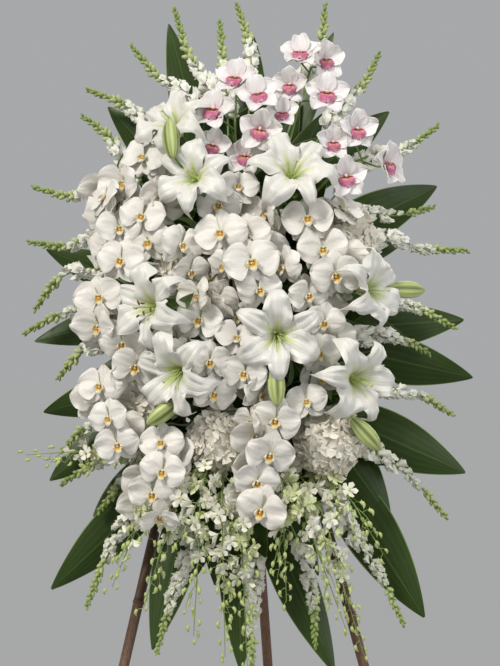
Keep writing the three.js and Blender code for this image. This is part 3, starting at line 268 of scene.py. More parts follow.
# A hanging orchid spray is the x and z where it leaves the mass, and those of its tip. The last number of a
# group is its shift in depth.
CASCADES = {
    "left": (("bottom", -6), [(-18, 75, -26.4, 55), (-12.6, 76, -20.4, 51), (-30, 81, -43, 80)], -16),
    "centre_left": (("bottom", -2), [(-9, 75, -10.8, 46), (-5.4, 73, -4.8, 42)], 0),
    "centre": (("bottom", 2), [(-2, 73, -0.6, 40), (6, 75, 6.8, 52.6)], -8),
    "right": (("bottom", 6), [(9, 72, 18.2, 47), (13.4, 69.6, 21.4, 42.6), (18.8, 72, 25.2, 61.4)], 0),
}
CASCADE_ROOT = 104

# The canes: x and y of the foot, x and y at the apex's height, share of the length at each node, overrun.
CANE_RADIUS = 10
CANE_PAIR = CANE_RADIUS * 1.06 + 0.4
CANES = {
    "left": ((-334, -FRONT_REACH), (APEX_X - CANE_PAIR, 0), (0.2, 0.42, 0.63, 0.83), 4),
    "right": ((323, -FRONT_REACH), (APEX_X + CANE_PAIR, 0), (0.16, 0.4, 0.6, 0.8), 4),
    "back": ((60, 400), (APEX_X, CANE_RADIUS * 1.8 + 3), (0.24, 0.46, 0.66, 0.85), 38),
}
LASHING_BELOW = 34


def vec(x, y, z):
    return np.array((x, y, z), float)


def unit(v):
    return v / np.linalg.norm(v)


def plane_y(z):
    return (z - APEX_HEIGHT) * LEAN


def place(x, z, depth):
    return vec(x * CM, plane_y(z * CM) - depth, z * CM)


def on_dome(x, z, lift=0.0):
    across, up = (x * CM - DOME_X) / DOME_HALF_X, (z * CM - DOME_Z) / DOME_HALF_Z
    return place(x, z, RIM_DEPTH + DOME_DEPTH * math.sqrt(max(0, 1 - across * across - up * up)) + lift)


LEAN_ANGLE = math.atan(LEAN)
UP_LEAN = vec(0, math.sin(LEAN_ANGLE), math.cos(LEAN_ANGLE))
OUT_OF_LEAN = vec(0, -math.cos(LEAN_ANGLE), math.sin(LEAN_ANGLE))
FOAM_MIDDLE = vec(APEX_X, plane_y(FOAM_MIDDLE_HEIGHT), FOAM_MIDDLE_HEIGHT)


def in_foam(u, v, w):
    return FOAM_MIDDLE + vec(u, 0, 0) + UP_LEAN * v + OUT_OF_LEAN * w


def front_root(root):
    """The inner and outer end of a peg in the foam's front, from its steps across and up."""
    u, v = root[0] * PEG_STEP_ACROSS, root[1] * PEG_STEP_UP
    return in_foam(u, v, FOAM_FRONT - STEM_IN_FOAM), in_foam(u, v, FOAM_FRONT + PEG_OUT)


def edge_root(root, w):
    """The inner and outer end of a peg in one of the foam's four edges, at the depth w."""
    side, along = root[0], root[1] * PEG_STEP_UP

    def reach(out):
        u, v = FOAM_WIDTH / 2 + out, FOAM_LENGTH / 2 + out
        return {"left": (-u, along), "right": (u, along), "top": (along, v), "bottom": (along, -v)}[side]

    return in_foam(*reach(-STEM_IN_FOAM), w), in_foam(*reach(PEG_OUT), w)


def from_peg(peg, further=16.0):
    """Where stems leave their peg: a point in its end, and one ahead of it."""
    inner, outer = peg
    return [outer + (inner - outer) * 0.08, outer + unit(outer - inner) * further]


def first_or_fork(start, i):
    """The first stem of a group goes straight on from the peg. The others turn aside at once."""
    return start[:1] if i else start


# The frame's origin isn't the layout's: the foam's place in both gives the shift between them, in millimetres.
low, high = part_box("foam_brick")
SHIFT = np.array((low + high) * 500) - in_foam(0, 0, (FOAM_BACK + FOAM_FRONT) / 2)


def dome_turn(x):
    return DOME_TURN * (x * CM - DOME_X) / DOME_HALF_X


def dome_nod(z):
    return DOME_NOD * (z * CM - DOME_Z) / DOME_HALF_Z


def facing(turn, nod, roll=0.0):
    """The side, up and forward directions, as columns, of a bloom with this turn, nod and roll."""
    t, n, r = (math.radians(a) for a in (turn, nod, roll))
    forward = vec(math.sin(t) * math.cos(n), -math.cos(t) * math.cos(n), math.sin(n))
    side = unit(np.cross(vec(0, 0, 1), forward))
    up = np.cross(forward, side)
    return np.column_stack(
        (side * math.cos(r) + up * math.sin(r), up * math.cos(r) - side * math.sin(r), forward)
    )


def orchid_place(row):
    x, z, turn, nod, _, lift = row
    return on_dome(x, z, lift), facing(turn + dome_turn(x), nod + dome_nod(z))


def centripetal(points, count):
    """Evenly spaced points on the centripetal curve through the given points."""
    points = [np.asarray(p, float) for p in points]
    points = [2 * points[0] - points[1], *points, 2 * points[-1] - points[-2]]
    fine = []
    for p0, p1, p2, p3 in zip(points, points[1:], points[2:], points[3:]):
        d0, d1, d2 = (max(1e-4, math.sqrt(np.linalg.norm(b - a))) for a, b in ((p0, p1), (p1, p2), (p2, p3)))
        t1 = ((p1 - p0) / d0 - (p2 - p0) / (d0 + d1) + (p2 - p1) / d1) * d1
        t2 = ((p2 - p1) / d1 - (p3 - p1) / (d1 + d2) + (p3 - p2) / d2) * d1
        t = np.linspace(0, 1, 24, endpoint=False)[:, None]
        fine.append(p1 + t1 * t + (-3 * p1 + 3 * p2 - 2 * t1 - t2) * t**2 + (2 * p1 - 2 * p2 + t1 + t2) * t**3)
    fine = np.vstack([*fine, points[-2]])
    along = np.concatenate([[0], np.cumsum(np.linalg.norm(np.diff(fine, axis=0), axis=1))])
    at = np.linspace(0, along[-1], count)
    return np.column_stack([np.interp(at, along, fine[:, k]) for k in range(3)])


def length_of(path):
    return float(np.linalg.norm(np.diff(path, axis=0), axis=1).sum())


# Shapes. A shape is its points, its faces and a mark for each point: how far it is along its part (0 to 1),
# how far across (-1 to 1), and the kind of part, which the materials read. A petal's back adds BACK to it.
PETAL, SEPAL, LIP, COLUMN, GREEN, BUD, ANTHER = 0.03, 0.23, 0.45, 0.6, 0.75, 0.85, 0.95
BACK = 0.07
LIP_FROM, COLUMN_FROM, BUD_FROM, ANTHER_FROM = 0.35, 0.52, 0.8, 0.9
KIND_STOPS = (0.0, 0.065, 0.15, 0.265, LIP_FROM, COLUMN_FROM, 0.68, BUD_FROM, ANTHER_FROM)


def joined(shapes):
    """Several shapes as one."""
    points, faces, marks, start = [], [], [], 0
    for p, f, m in shapes:
        points.append(p)
        marks.append(m)
        faces += [tuple(i + start for i in face) for face in f]
        start += len(p)
    return np.vstack(points), faces, np.vstack(marks)


def moved(shape, by):
    return shape[0] + by, shape[1], shape[2]


def turned(shape, angle):
    """The shape turned about the way the bloom faces."""
    c, s = math.cos(math.radians(angle)), math.sin(math.radians(angle))
    points = shape[0] @ np.array(((c, s, 0), (-s, c, 0), (0, 0, 1)))
    return points, shape[1], shape[2]


def sheet(surface, rows, columns, thickness, kind, span=(0.0, 1.0)):
    """A thin closed sheet. surface gives its front for arrays of along, 0 to 1, and across, -1 to 1."""
    along = np.sin(np.linspace(0, 1, rows + 1) * math.pi / 2) ** 1.2 * 0.996
    u, v = np.meshgrid(along, np.linspace(-1, 1, columns + 1), indexing="ij")
    front = np.stack(surface(u, v), axis=-1)
    normal = np.cross(np.gradient(front, axis=1), np.gradient(front, axis=0))
    normal /= np.maximum(np.linalg.norm(normal, axis=-1, keepdims=True), 1e-9)
    back = front - normal * thickness
    size = (rows + 1) * (columns + 1)
    index = np.arange(size).reshape(rows + 1, columns + 1)
    quads = np.stack((index[:-1, :-1], index[:-1, 1:], index[1:, 1:], index[1:, :-1]), axis=-1).reshape(-1, 4)
    rim = np.concatenate((index[0, :-1], index[:-1, -1], index[-1, :0:-1], index[:0:-1, 0]))
    after = np.roll(rim, -1)
    sides = np.stack((rim + size, after + size, after, rim), axis=-1)
    faces = np.vstack((quads, quads[:, ::-1] + size, sides))
    mark = np.stack((span[0] + (span[1] - span[0]) * u, v, np.full_like(u, kind)), axis=-1).reshape(-1, 3)
    under = mark + vec(0, 0, BACK if kind in (PETAL, SEPAL) else 0)
    points = np.vstack((front.reshape(-1, 3), back.reshape(-1, 3)))
    return points, [tuple(int(i) for i in f) for f in faces], np.vstack((mark, under))


def turns_of(sides):
    return np.arange(sides) * 2 * math.pi / sides


def tube_faces(rings, sides):
    """The faces between rings of points, and the two ends."""
    faces = [
        (k * sides + i, k * sides + (i + 1) % sides, (k + 1) * sides + (i + 1) % sides, (k + 1) * sides + i)
        for k in range(rings - 1)
        for i in range(sides)
    ]
    return faces + [tuple(reversed(range(sides))), tuple(range((rings - 1) * sides, rings * sides))]


def basis_along(ahead, hint):
    """Two directions across a line and the line's own, as columns."""
    side = unit(np.cross(ahead, hint))
    return np.column_stack((side, np.cross(ahead, side), ahead))


def lathe(rings, sides, kind, path=None):
    """A closed shape from rings of (height, radius, mark) about +Z, or about a path of points, which then gives
    the heights."""
    points, marks = [], []
    turn = turns_of(sides)
    for k, (height, radius, mark) in enumerate(rings):
        circle = np.column_stack((np.cos(turn), np.sin(turn), np.zeros(sides))) * radius
        if path is None:
            points.append(circle + vec(0, 0, height))
        else:
            ahead = unit(path[min(k + 1, len(path) - 1)] - path[max(k - 1, 0)])
            points.append(circle @ basis_along(ahead, vec(0.31, 0.42, 0.85)).T + path[k])
        marks.append(np.column_stack((np.full(sides, mark), np.cos(turn), np.full(sides, kind))))
    return np.vstack(points), tube_faces(len(rings), sides), np.vstack(marks)


def tepal(length, half, tip=0.85, round_=0.6, base=0.12, rise=0.0, arch=0.0, hollow=0.0, ripple=0.0, seed=0):
    """A petal's front along +Y. A smaller tip exponent puts its widest place nearer the foot. It rises, bows by
    arch, is hollowed across and ripples at its edges."""
    phase = 1.7 * seed

    def surface(u, v):
        width = half * np.maximum(np.sin(math.pi * np.clip(u, 0, 1) ** tip) ** round_, 0.02)
        width = width * np.minimum(1, base + u / 0.3) + 0.01 * half
        wave = ripple * np.abs(v) ** 2 * u * np.sin(11 * u + phase + 2.2 * np.sign(v))
        lift = rise * u + arch * np.sin(math.pi * u * 0.9) - hollow * v * v * np.sin(math.pi * u) ** 0.7
        lift = lift - 0.06 * half * np.exp(-((v / 0.12) ** 2)) * np.sin(math.pi * u)
        lift = lift + 0.085 * half * np.sin(5 * u + 3.6 * v + phase) * u
        lift = lift + 0.035 * half * np.cos(6.5 * v + 2 * phase) * np.sin(math.pi * u)
        sway = 0.04 * length * np.sin(phase * 3) * np.sin(math.pi * u)
        return v * width + sway, length * u, lift + wave

    return surface


def phalaenopsis_flower(seed, cup):
    """Three sepals, two broad round petals, the lip and its column. Half the bloom's width is 1. cup says
    how far the petals lean forward."""
    draw = np.random.default_rng(seed)
    parts = []
    for angle in (90, 227, 313):
        rise, arch = draw.uniform(-0.3, 0.0), draw.uniform(-0.02, 0.1)
        surface = tepal(1.0, 0.4, 0.88, 0.68, 0.34, rise, arch, 0.07, 0.04, seed + angle)
        part = turned(sheet(surface, 8, 6, 0.016, SEPAL), angle - 90 + draw.uniform(-5, 5))
        parts.append(moved(part, vec(0, 0, -0.05)))
    for side in (1, -1):
        rise, arch, hollow = cup + draw.uniform(-0.16, 0.16), draw.uniform(0.0, 0.24), draw.uniform(-0.14, 0.26)
        surface = tepal(1.04, 0.7, 0.8, 0.5, 0.16, rise, arch, hollow, draw.uniform(0.06, 0.15), seed + side)
        part = turned(sheet(surface, 11, 12, 0.016, PETAL), (-80 + draw.uniform(-6, 6)) * side)
        parts.append(moved(part, vec(0, 0.02, 0.02 + 0.02 * side)))
    parts.append(lathe([(0.0, 0.05, 0), (0.1, 0.055, 0.4), (0.16, 0.06, 0.8), (0.2, 0.03, 1)], 7, COLUMN,
                       [vec(0, 0.05, 0), vec(0, 0.07, 0.08), vec(0, 0.07, 0.15), vec(0, 0.04, 0.2)]))

    def wing(side):
        def surface(u, v):
            width = 0.155 * np.sin(math.pi * np.clip(u, 0.03, 0.97) ** 0.7) ** 0.55 + 0.012
            out = 0.04 + 0.21 * np.sin(1.5 * u) - 0.1 * v * v * u
            return side * out, -0.04 - 0.05 * u + width * v * side, 0.05 + 0.2 * u + 0.03 * v * v
        return surface

    def tongue(u, v):
        width = 0.05 + 0.09 * np.sin(math.pi * np.clip(u, 0, 1) ** 1.2) ** 0.8
        return -v * width, -0.06 - 0.3 * u, 0.09 + 0.22 * np.sin(1.9 * u) - 0.08 * v * v

    parts += [sheet(wing(side), 5, 5, 0.014, LIP, (0.1, 0.95)) for side in (1, -1)]
    parts.append(sheet(tongue, 5, 4, 0.018, LIP, (0.0, 0.85)))
    for side in (1, -1):
        curl = [vec(0.01 * side, -0.35, 0.28), vec(0.05 * side, -0.4, 0.3), vec(0.08 * side, -0.37, 0.35)]
        parts.append(lathe([(0, 0.014, 0.9), (0, 0.01, 0.95), (0, 0.005, 1)], 4, LIP, curl))
    parts.append(lathe([(0, 0.04, 0.2), (0.04, 0.075, 0.24), (0.1, 0.07, 0.3), (0.14, 0.03, 0.35)], 6, LIP,
                       [vec(0, -0.03, 0.06), vec(0, -0.05, 0.1), vec(0, -0.06, 0.14), vec(0, -0.07, 0.17)]))
    return joined(parts)


def cymbidium_flower(seed):
    """Five broad tepals, a cupped lip that curls under, and an arched column. Half the width is 1."""
    draw = np.random.default_rng(seed)
    parts = []
    for i, angle in enumerate((90, 158, 22, 236, 304)):
        petal = i in (1, 2)
        rise = draw.uniform(0.36, 0.6) if i == 0 else draw.uniform(0.16, 0.5)
        half = 0.5 if petal else 0.44
        surface = tepal(1.05, half, 0.86, 0.72, 0.42, rise, 0.1, -0.2, draw.uniform(0.06, 0.15), seed + i)
        part = turned(sheet(surface, 9, 8, 0.026, PETAL if petal else SEPAL), angle - 90 + draw.uniform(-5, 5))
        parts.append(moved(part, vec(0, 0, 0.02 if petal else -0.03)))

    def lip(u, v):
        width = 0.09 + 0.28 * np.sin(math.pi * np.clip(u, 0, 1) ** 0.72) ** 0.45
        frill = 0.03 * np.sin(11 * v + 2) * u * u
        cup = v * v * (0.24 - 0.54 * u)
        return -v * width, 0.08 - 0.56 * u ** 1.1 + frill, 0.08 + 0.38 * np.sin(2.1 * u) + cup - frill

    parts.append(sheet(lip, 10, 12, 0.022, LIP))
    arch = [vec(0, 0.07, 0), vec(0, 0.12, 0.12), vec(0, 0.12, 0.26), vec(0, 0.07, 0.36), vec(0, 0.03, 0.4)]
    rings = [(0, 0.06, 0), (0, 0.065, 0.4), (0, 0.075, 0.7), (0, 0.065, 0.9), (0, 0.02, 1)]
    parts.append(lathe(rings, 8, COLUMN, arch))
    return joined(parts)


def lily_flower(seed, pollen=False):
    """Six tepals that open from a trumpet and curl back, six stamens and the pistil. A tepal's reach is 1."""
    draw = np.random.default_rng(seed)
    parts = []
    for k in range(6):
        inner = k % 2 == 1
        half = (0.34 if inner else 0.25) * draw.uniform(0.94, 1.06)
        curl = draw.uniform(0.04, 0.3) + (0.16 if draw.uniform() < 0.35 else 0.0)
        droop = draw.uniform(-0.07, 0.1)
        phase, bend = draw.uniform(0, 6), draw.uniform(-0.06, 0.06)

        def surface(u, v, half=half, curl=curl, droop=droop, phase=phase, bend=bend, inner=inner):
            stops = (0, 0.15, 0.3, 0.5, 0.7, 0.85, 1)
            smooth = u + 0.012 * np.sin(2 * math.pi * u)
            reach = np.interp(smooth, stops, (0.05, 0.1, 0.22, 0.47, 0.76, 0.93, 1.02 - 0.5 * curl))
            rise = np.interp(smooth, stops, (-0.14, 0.1, 0.3, 0.46, 0.48, 0.4 - 0.3 * curl, 0.24 - 1.3 * curl))
            rise = rise + droop * u + (0.03 if inner else 0.0) * np.minimum(1, 4 * u)
            width = half * (0.16 + 0.84 * np.sin(math.pi * np.clip(u, 0, 1) ** 1.08) ** 0.84) * (1 - 0.97 * u ** 5)
            cup = (0.16 - 0.42 * u) * v * v * half * 2.0
            groove = -0.045 * np.exp(-((v / 0.13) ** 2)) * np.sin(math.pi * np.clip(u, 0, 1)) ** 0.5
            fold = 0.03 * np.cos(9.5 * v) * np.sin(math.pi * u)
            deep, free = (0.16 if inner else 0.09), np.minimum(1, 2 * u)
            frill = deep * np.abs(v) ** 2.2 * np.sin(13 * u + phase + 1.7 * np.sign(v)) * free
            frill = frill + 0.05 * np.abs(v) ** 3 * np.sin(24 * u - 2 * phase + np.sign(v)) * free
            return v * width + bend * np.sin(math.pi * u), reach, rise + cup + groove + fold + frill

        parts.append(turned(sheet(surface, 24, 14, 0.012, PETAL if inner else SEPAL), 60 * k + 30 - 90))
    for k in range(6):
        angle = math.radians(60 * k + draw.uniform(-16, 16))
        out, tall = draw.uniform(0.1, 0.2), draw.uniform(0.5, 0.68)
        path = [
            vec(out * s * math.cos(angle), out * s * math.sin(angle) - 0.08 * s * s, -0.1 + tall * s)
            for s in (0, 0.35, 0.7, 1)
        ]
        parts.append(lathe([(0, 0.017, 0), (0, 0.014, 0.3), (0, 0.011, 0.7), (0, 0.008, 1)], 5, GREEN, path))
        if pollen:
            swing = draw.uniform(0, math.pi)
            across = unit(vec(math.cos(swing), math.sin(swing), draw.uniform(-0.4, 0.4)))
            ends = [path[-1] + across * s * 0.06 + vec(0, 0, 0.012) for s in (-1, -0.5, 0.5, 1)]
            parts.append(lathe([(0, 0.01, 0), (0, 0.023, 0.3), (0, 0.023, 0.7), (0, 0.01, 1)], 6, ANTHER, ends))
    style = [vec(0, -0.1 * s * s, -0.1 + 0.9 * s) for s in (0, 0.3, 0.6, 0.9, 0.93, 0.96)]
    radii = (0.026, 0.02, 0.016, 0.016, 0.038, 0.03)
    parts.append(lathe([(0, r, 0.2) for r in radii], 7, GREEN, style))
    trumpet = ((-0.16, 0.02), (-0.13, 0.06), (0.0, 0.085), (0.08, 0.1), (0.06, 0.05), (-0.08, 0.035))
    parts.append(lathe([(z, r, 0.02) for z, r in trumpet], 9, SEPAL))
    return joined(parts)


def green_leaf(seed, half, kind):
    """A small leaf along +Y with its upper side to +Z. Its length is 1."""
    return sheet(tepal(1.0, half, 0.9, 0.8, 0.3, -0.06, 0.1, -0.05, 0.02, seed), 8, 4, 0.012, kind)


def lily_bud():
    """A closed bud along +Z with the six tepals' ridges. Its length and its greatest radius are 1."""
    heights = (0.0, 0.06, 0.2, 0.4, 0.6, 0.78, 0.9, 0.97, 1.0)
    radii = (0.2, 0.5, 0.8, 0.98, 1.0, 0.84, 0.56, 0.3, 0.12)
    points, faces, marks = lathe([(h, r, h) for h, r in zip(heights, radii)], 30, GREEN)
    turn = np.arctan2(points[:, 1], points[:, 0])
    ribs = 0.08 * np.cos(3 * turn) - 0.09 * np.exp(-((np.cos(3 * turn) + 1) / 0.3) ** 2)
    swell = 1 + ribs * np.sin(math.pi * points[:, 2]) ** 0.7
    points[:, 0] *= swell
    points[:, 1] *= swell
    # across is -1 in the grooves between the tepals, where the lily paint lays painted shade.
    marks[:, 1] = np.cos(3 * turn)
    marks[:, 2] = BUD
    return points, faces, marks


def flat_flower(outline, depth, eye, kind, eye_kind, stalk=0.0):
    """A small flower of one closed skin: rows of angle, reach and height for its outline, a foot below and a
    raised eye. Every second row is a notch between two petals."""
    turn = np.radians([a for a, _, _ in outline])
    reach = np.array([r for _, r, _ in outline])
    height = np.array([h for _, _, h in outline])
    n = len(outline)
    ring = lambda share, z: np.column_stack((np.cos(turn) * reach * share, np.sin(turn) * reach * share, z))
    few = turn[::2]
    small = lambda r, z: np.column_stack((np.cos(few) * r, np.sin(few) * r, np.full(n // 2, z)))
    rings = [small(depth * 0.35, -0.55), ring(1, height), small(eye, height.min() + 0.06)]
    points = np.vstack([vec(0, 0, -0.8), *rings, vec(0, 0, height.min() + 0.16)])
    m = n // 2
    edge = np.column_stack((reach, np.sin(3 * turn), np.full(n, kind)))
    marks = np.vstack([
        (0, 0, GREEN), np.tile((0.1, 0, kind), (m, 1)), edge, np.tile((0.2, 0, kind), (m, 1)), (0, 0, eye_kind),
    ])
    a, b, c, top = 1, 1 + m, 1 + m + n, 1 + m + n + m
    faces = []
    for i in range(m):
        j = (i + 1) % m
        o, p, q = b + 2 * i, b + (2 * i + 1) % n, b + (2 * i + 2) % n
        faces += [(0, a + j, a + i), (a + i, a + j, q, p), (a + i, p, o)]
        faces += [(o, p, c + i), (p, q, c + j, c + i), (c + i, c + j, top)]
    points[:, 2] += stalk
    return points, faces, marks


def hydrangea_floret(seed):
    """Four broad petals round a small bead. A petal's reach is 1."""
    draw = np.random.default_rng(seed)
    rows = []
    for k in range(4):
        lift = draw.uniform(-0.06, 0.26)
        for off, reach, height in ((-45, 0.5, -0.04), (-28, 0.98, 0.12), (0, 1.0, 0.05), (28, 0.98, 0.2)):
            rows.append((90 * k + off + draw.uniform(-4, 4), reach * draw.uniform(0.88, 1.1), height + lift))
    return flat_flower(rows, 0.5, 0.12, PETAL, COLUMN, draw.uniform(-0.15, 0.35))


def spray_flower(seed):
    """A small orchid of the hanging sprays on its thin stalk: five tepals and a green-white lip. Every third
    one is young, and still pale green."""
    draw = np.random.default_rng(seed)
    young = seed % 3 == 0
    rows = []
    for k in range(5):
        lift = draw.uniform(-0.16, 0.16)
        for off, reach, height in ((-36, 0.36, -0.06), (-25, 0.86, 0.14), (0, 1.0, 0.26), (25, 0.88, 0.04)):
            rows.append((72 * k + off, reach * draw.uniform(0.92, 1.08), height + lift))
    flower = flat_flower(rows, 0.52 if young else 0.4, 0.12, SEPAL if young else PETAL, LIP, 1.2)
    lip = lathe([(1.1, 0.08, 0.2), (1.34, 0.17, 0.5), (1.54, 0.2, 1), (1.42, 0.05, 0.4)], 4, LIP)
    stalk = lathe([(0.0, 0.045, 0), (0.6, 0.035, 0)], 3, GREEN)
    return joined([flower, lip, stalk])


def spray_bud():
    """A pointed bud at the end of a thin bent stalk."""
    bent = [vec(0, y, z) for y, z in (
        (0, 0.82), (0.06, 0.96), (0.22, 1.16), (0.48, 1.28), (0.78, 1.26), (0.98, 1.14))]
    radii = (0.05, 0.21, 0.28, 0.24, 0.12, 0.02)
    body = lathe([(0, r, k / 5) for k, r in enumerate(radii)], 6, COLUMN, bent)
    spur = lathe([(0, 0.1, 0.1), (0, 0.03, 0)], 4, COLUMN, [vec(0, 0.0, 1.04), vec(0, -0.24, 1.12)])
    stalk = lathe([(0, 0.04, 0), (0, 0.03, 0), (0, 0.03, 0)], 3, GREEN,
                  [vec(0, 0, 0), vec(0, -0.1, 0.46), vec(0, 0, 0.92)])
    return joined([body, spur, stalk])


def snapdragon_flower(seed):
    """A short tube that flares into two upper and three lower rounded lobes round a puffed throat. Its length
    is about 1."""
    draw = np.random.default_rng(seed)
    angles = (66, 90, 114, 150, 186, 210, 240, 270, 300, 330, 354, 30)
    reaches = (0.6, 0.4, 0.6, 0.46, 0.32, 0.48, 0.36, 0.52, 0.36, 0.48, 0.32, 0.46)
    sides = len(angles)
    turn = np.radians(angles) + draw.uniform(-0.06, 0.06, sides)
    lobe = np.array(reaches) * draw.uniform(0.84, 1.16, sides)
    height = 0.84 + 0.16 * np.sin(turn) + (lobe - 0.44) * 0.8 + draw.uniform(-0.05, 0.05, sides)
    ring = lambda r, z, y=0.0: np.column_stack((np.cos(turn) * r, np.sin(turn) * r + y, np.zeros(sides) + z))
    rings = [ring(0.09, 0), ring(0.2, 0.2), ring(0.27, 0.54), ring(lobe, height),
             ring(lobe * 0.54, height - 0.08, -0.02), ring(0.14, 1.02, -0.06)]
    kinds, alongs = (GREEN, PETAL, PETAL, PETAL, PETAL, LIP), (0.0, 0.3, 0.5, 1.0, 0.8, 0.6)
    marks = np.vstack([np.tile((a, 0, k), (sides, 1)) for a, k in zip(alongs, kinds)])
    return np.vstack(rings), tube_faces(len(rings), sides), marks


def snapdragon_bud():
    """An oblong bud with a small green calyx at its foot."""
    cup = lathe([(-0.06, 0.1, 0), (0.08, 0.24, 0.2), (0.26, 0.29, 0.4)], 5, GREEN)
    body = lathe([(0.1, 0.18, 0.3), (0.3, 0.29, 0.6), (0.64, 0.31, 0.8), (0.92, 0.2, 0.9), (1.04, 0.07, 1)], 6, COLUMN)
    return joined([cup, body])


def petal_mesh(name, shape, crease=62):
    """A mesh of a shape, with its marks as the attribute that the materials read. Edges that turn by more than
    the crease, in degrees, stay sharp."""
    points, faces, marks = shape
    mesh = bpy.data.meshes.new(name)
    mesh.from_pydata([tuple(p) for p in points], [], faces)
    mesh.attributes.new("mark", "FLOAT_VECTOR", "POINT").data.foreach_set("vector", marks.astype(np.float32).ravel())
    mesh.shade_smooth()
    mesh.set_sharp_from_angle(angle=math.radians(crease))
    return mesh


def bouquet(name, shapes, crease=62):
    """A collection of template flowers, in the order in which the variants pick them."""
    collection = bpy.data.collections.new(name)
    for i, shape in enumerate(shapes):
        label = f"{name}_{i:02d}"
        collection.objects.link(bpy.data.objects.new(label, petal_mesh(label, shape, crease)))
    return collection


def discard(collection):
    for obj in list(collection.objects):
        mesh = obj.data
        bpy.data.objects.remove(obj)
        bpy.data.meshes.remove(mesh)
    bpy.data.collections.remove(collection)


# The roles of a plan's points.
FLOWER_ROLE, STEM_ROLE, SPIRE_ROLE = 0, 1, 2


class Plan:
    """What a node grows from, in the CAD's own millimetres: stems, spires and the places of its flowers. It
    begins with the peg, the stems' shared foot in its hole in the foam, and start is where they leave it."""

    def __init__(self, root):
        self.points, self.edges, self.thick, self.role = [], [], [], []
        self.turn, self.size, self.variant = [], [], []
        self.start = from_peg(root)
        inner, outer = root
        narrow = PEG_RADIUS * 0.94
        self.line([inner + (outer - inner) * s for s in (0.05, 0.5, 0.9)], PEG_RADIUS, narrow)
        self.line([outer + (inner - outer) * s for s in (0.1, -0.1, -0.3)], narrow, PEG_RADIUS * 0.5)

    def _point(self, p, thick, role, turn=(1, 0, 0, 0), size=(0, 0, 0), variant=0):
        self.points.append((np.asarray(p) + SHIFT) * METRES)
        self.thick.append(thick * METRES)
        self.role.append(role)
        self.turn.append(turn)
        self.size.append(size)
        self.variant.append(variant)

    def line(self, path, thick_start, thick_end, role=STEM_ROLE):
        """A stem that tapers along its path."""
        start = len(self.points)
        for k, p in enumerate(path):
            share = k / (len(path) - 1)
            self._point(p, thick_start + (thick_end - thick_start) * share, role)
        self.edges += [(start + k, start + k + 1) for k in range(len(path) - 1)]

    def spire(self, path, up_start, up_end):
        """A line that the tree sets flowers along. What is added to each point's height up the spire is given in
        thousandths."""
        self.line(path, up_start, up_end, SPIRE_ROLE)

    def flower(self, position, basis, size, variant):
        """A flower's place. Its size is one number, or one for each of its own directions."""
        quaternion = Matrix([list(r) for r in basis]).to_quaternion()
        size = size if hasattr(size, "__len__") else (size, size, size)
        self._point(position, 0, FLOWER_ROLE, tuple(quaternion), tuple(s * METRES for s in size), variant)

    def mesh(self, name):
        """The plan as points and lines, with an attribute for each thing that the trees read."""
        mesh = bpy.data.meshes.new(name)
        mesh.from_pydata([tuple(p) for p in self.points], self.edges, [])
        for label, kind, field, values in (
            ("thick", "FLOAT", "value", self.thick), ("role", "INT", "value", self.role),
            ("turn", "QUATERNION", "value", self.turn), ("size", "FLOAT_VECTOR", "vector", self.size),
            ("variant", "INT", "value", self.variant),
        ):
            flat = np.array(values, np.int32 if kind == "INT" else np.float32).ravel()
            mesh.attributes.new(label, kind, "POINT").data.foreach_set(field, flat)
        return mesh


class Nodes:
    """Nodes in the making, laid out in rows as they are added."""

    def __init__(self, tree):
        self.tree, self.count = tree, 0

    def node(self, kind, inputs=None, **settings):
        """Adds a node. Its inputs go by identifier, or else by name or number."""
        node = self.tree.nodes.new(kind)
        node.location = (190 * (self.count % 12), -260 * (self.count // 12))
        self.count += 1
        for key, value in settings.items():
            setattr(node, key, value)
        for key, value in (inputs or {}).items():
            self.feed(value, next((s for s in node.inputs if s.identifier == key), None) or node.inputs[key])
        return node

    def feed(self, value, socket):
        """Gives an input a socket, the first output of a node, or a value."""
        if isinstance(value, bpy.types.NodeSocket):
            self.tree.links.new(value, socket)
        elif isinstance(value, bpy.types.Node):
            self.tree.links.new(next(s for s in value.outputs if s.enabled), socket)
        elif socket.type == "RGBA":
            socket.default_value = (*value[:3], 1)
        else:
            socket.default_value = value

    def math(self, operation, a, b=0.0):
        return self.node("ShaderNodeMath", {0: a, 1: b}, operation=operation).outputs[0]

    def plus(self, a, b):
        return self.math("ADD", a, b)

    def minus(self, a, b):
        return self.math("SUBTRACT", a, b)

    def times(self, a, b):
        return self.math("MULTIPLY", a, b)


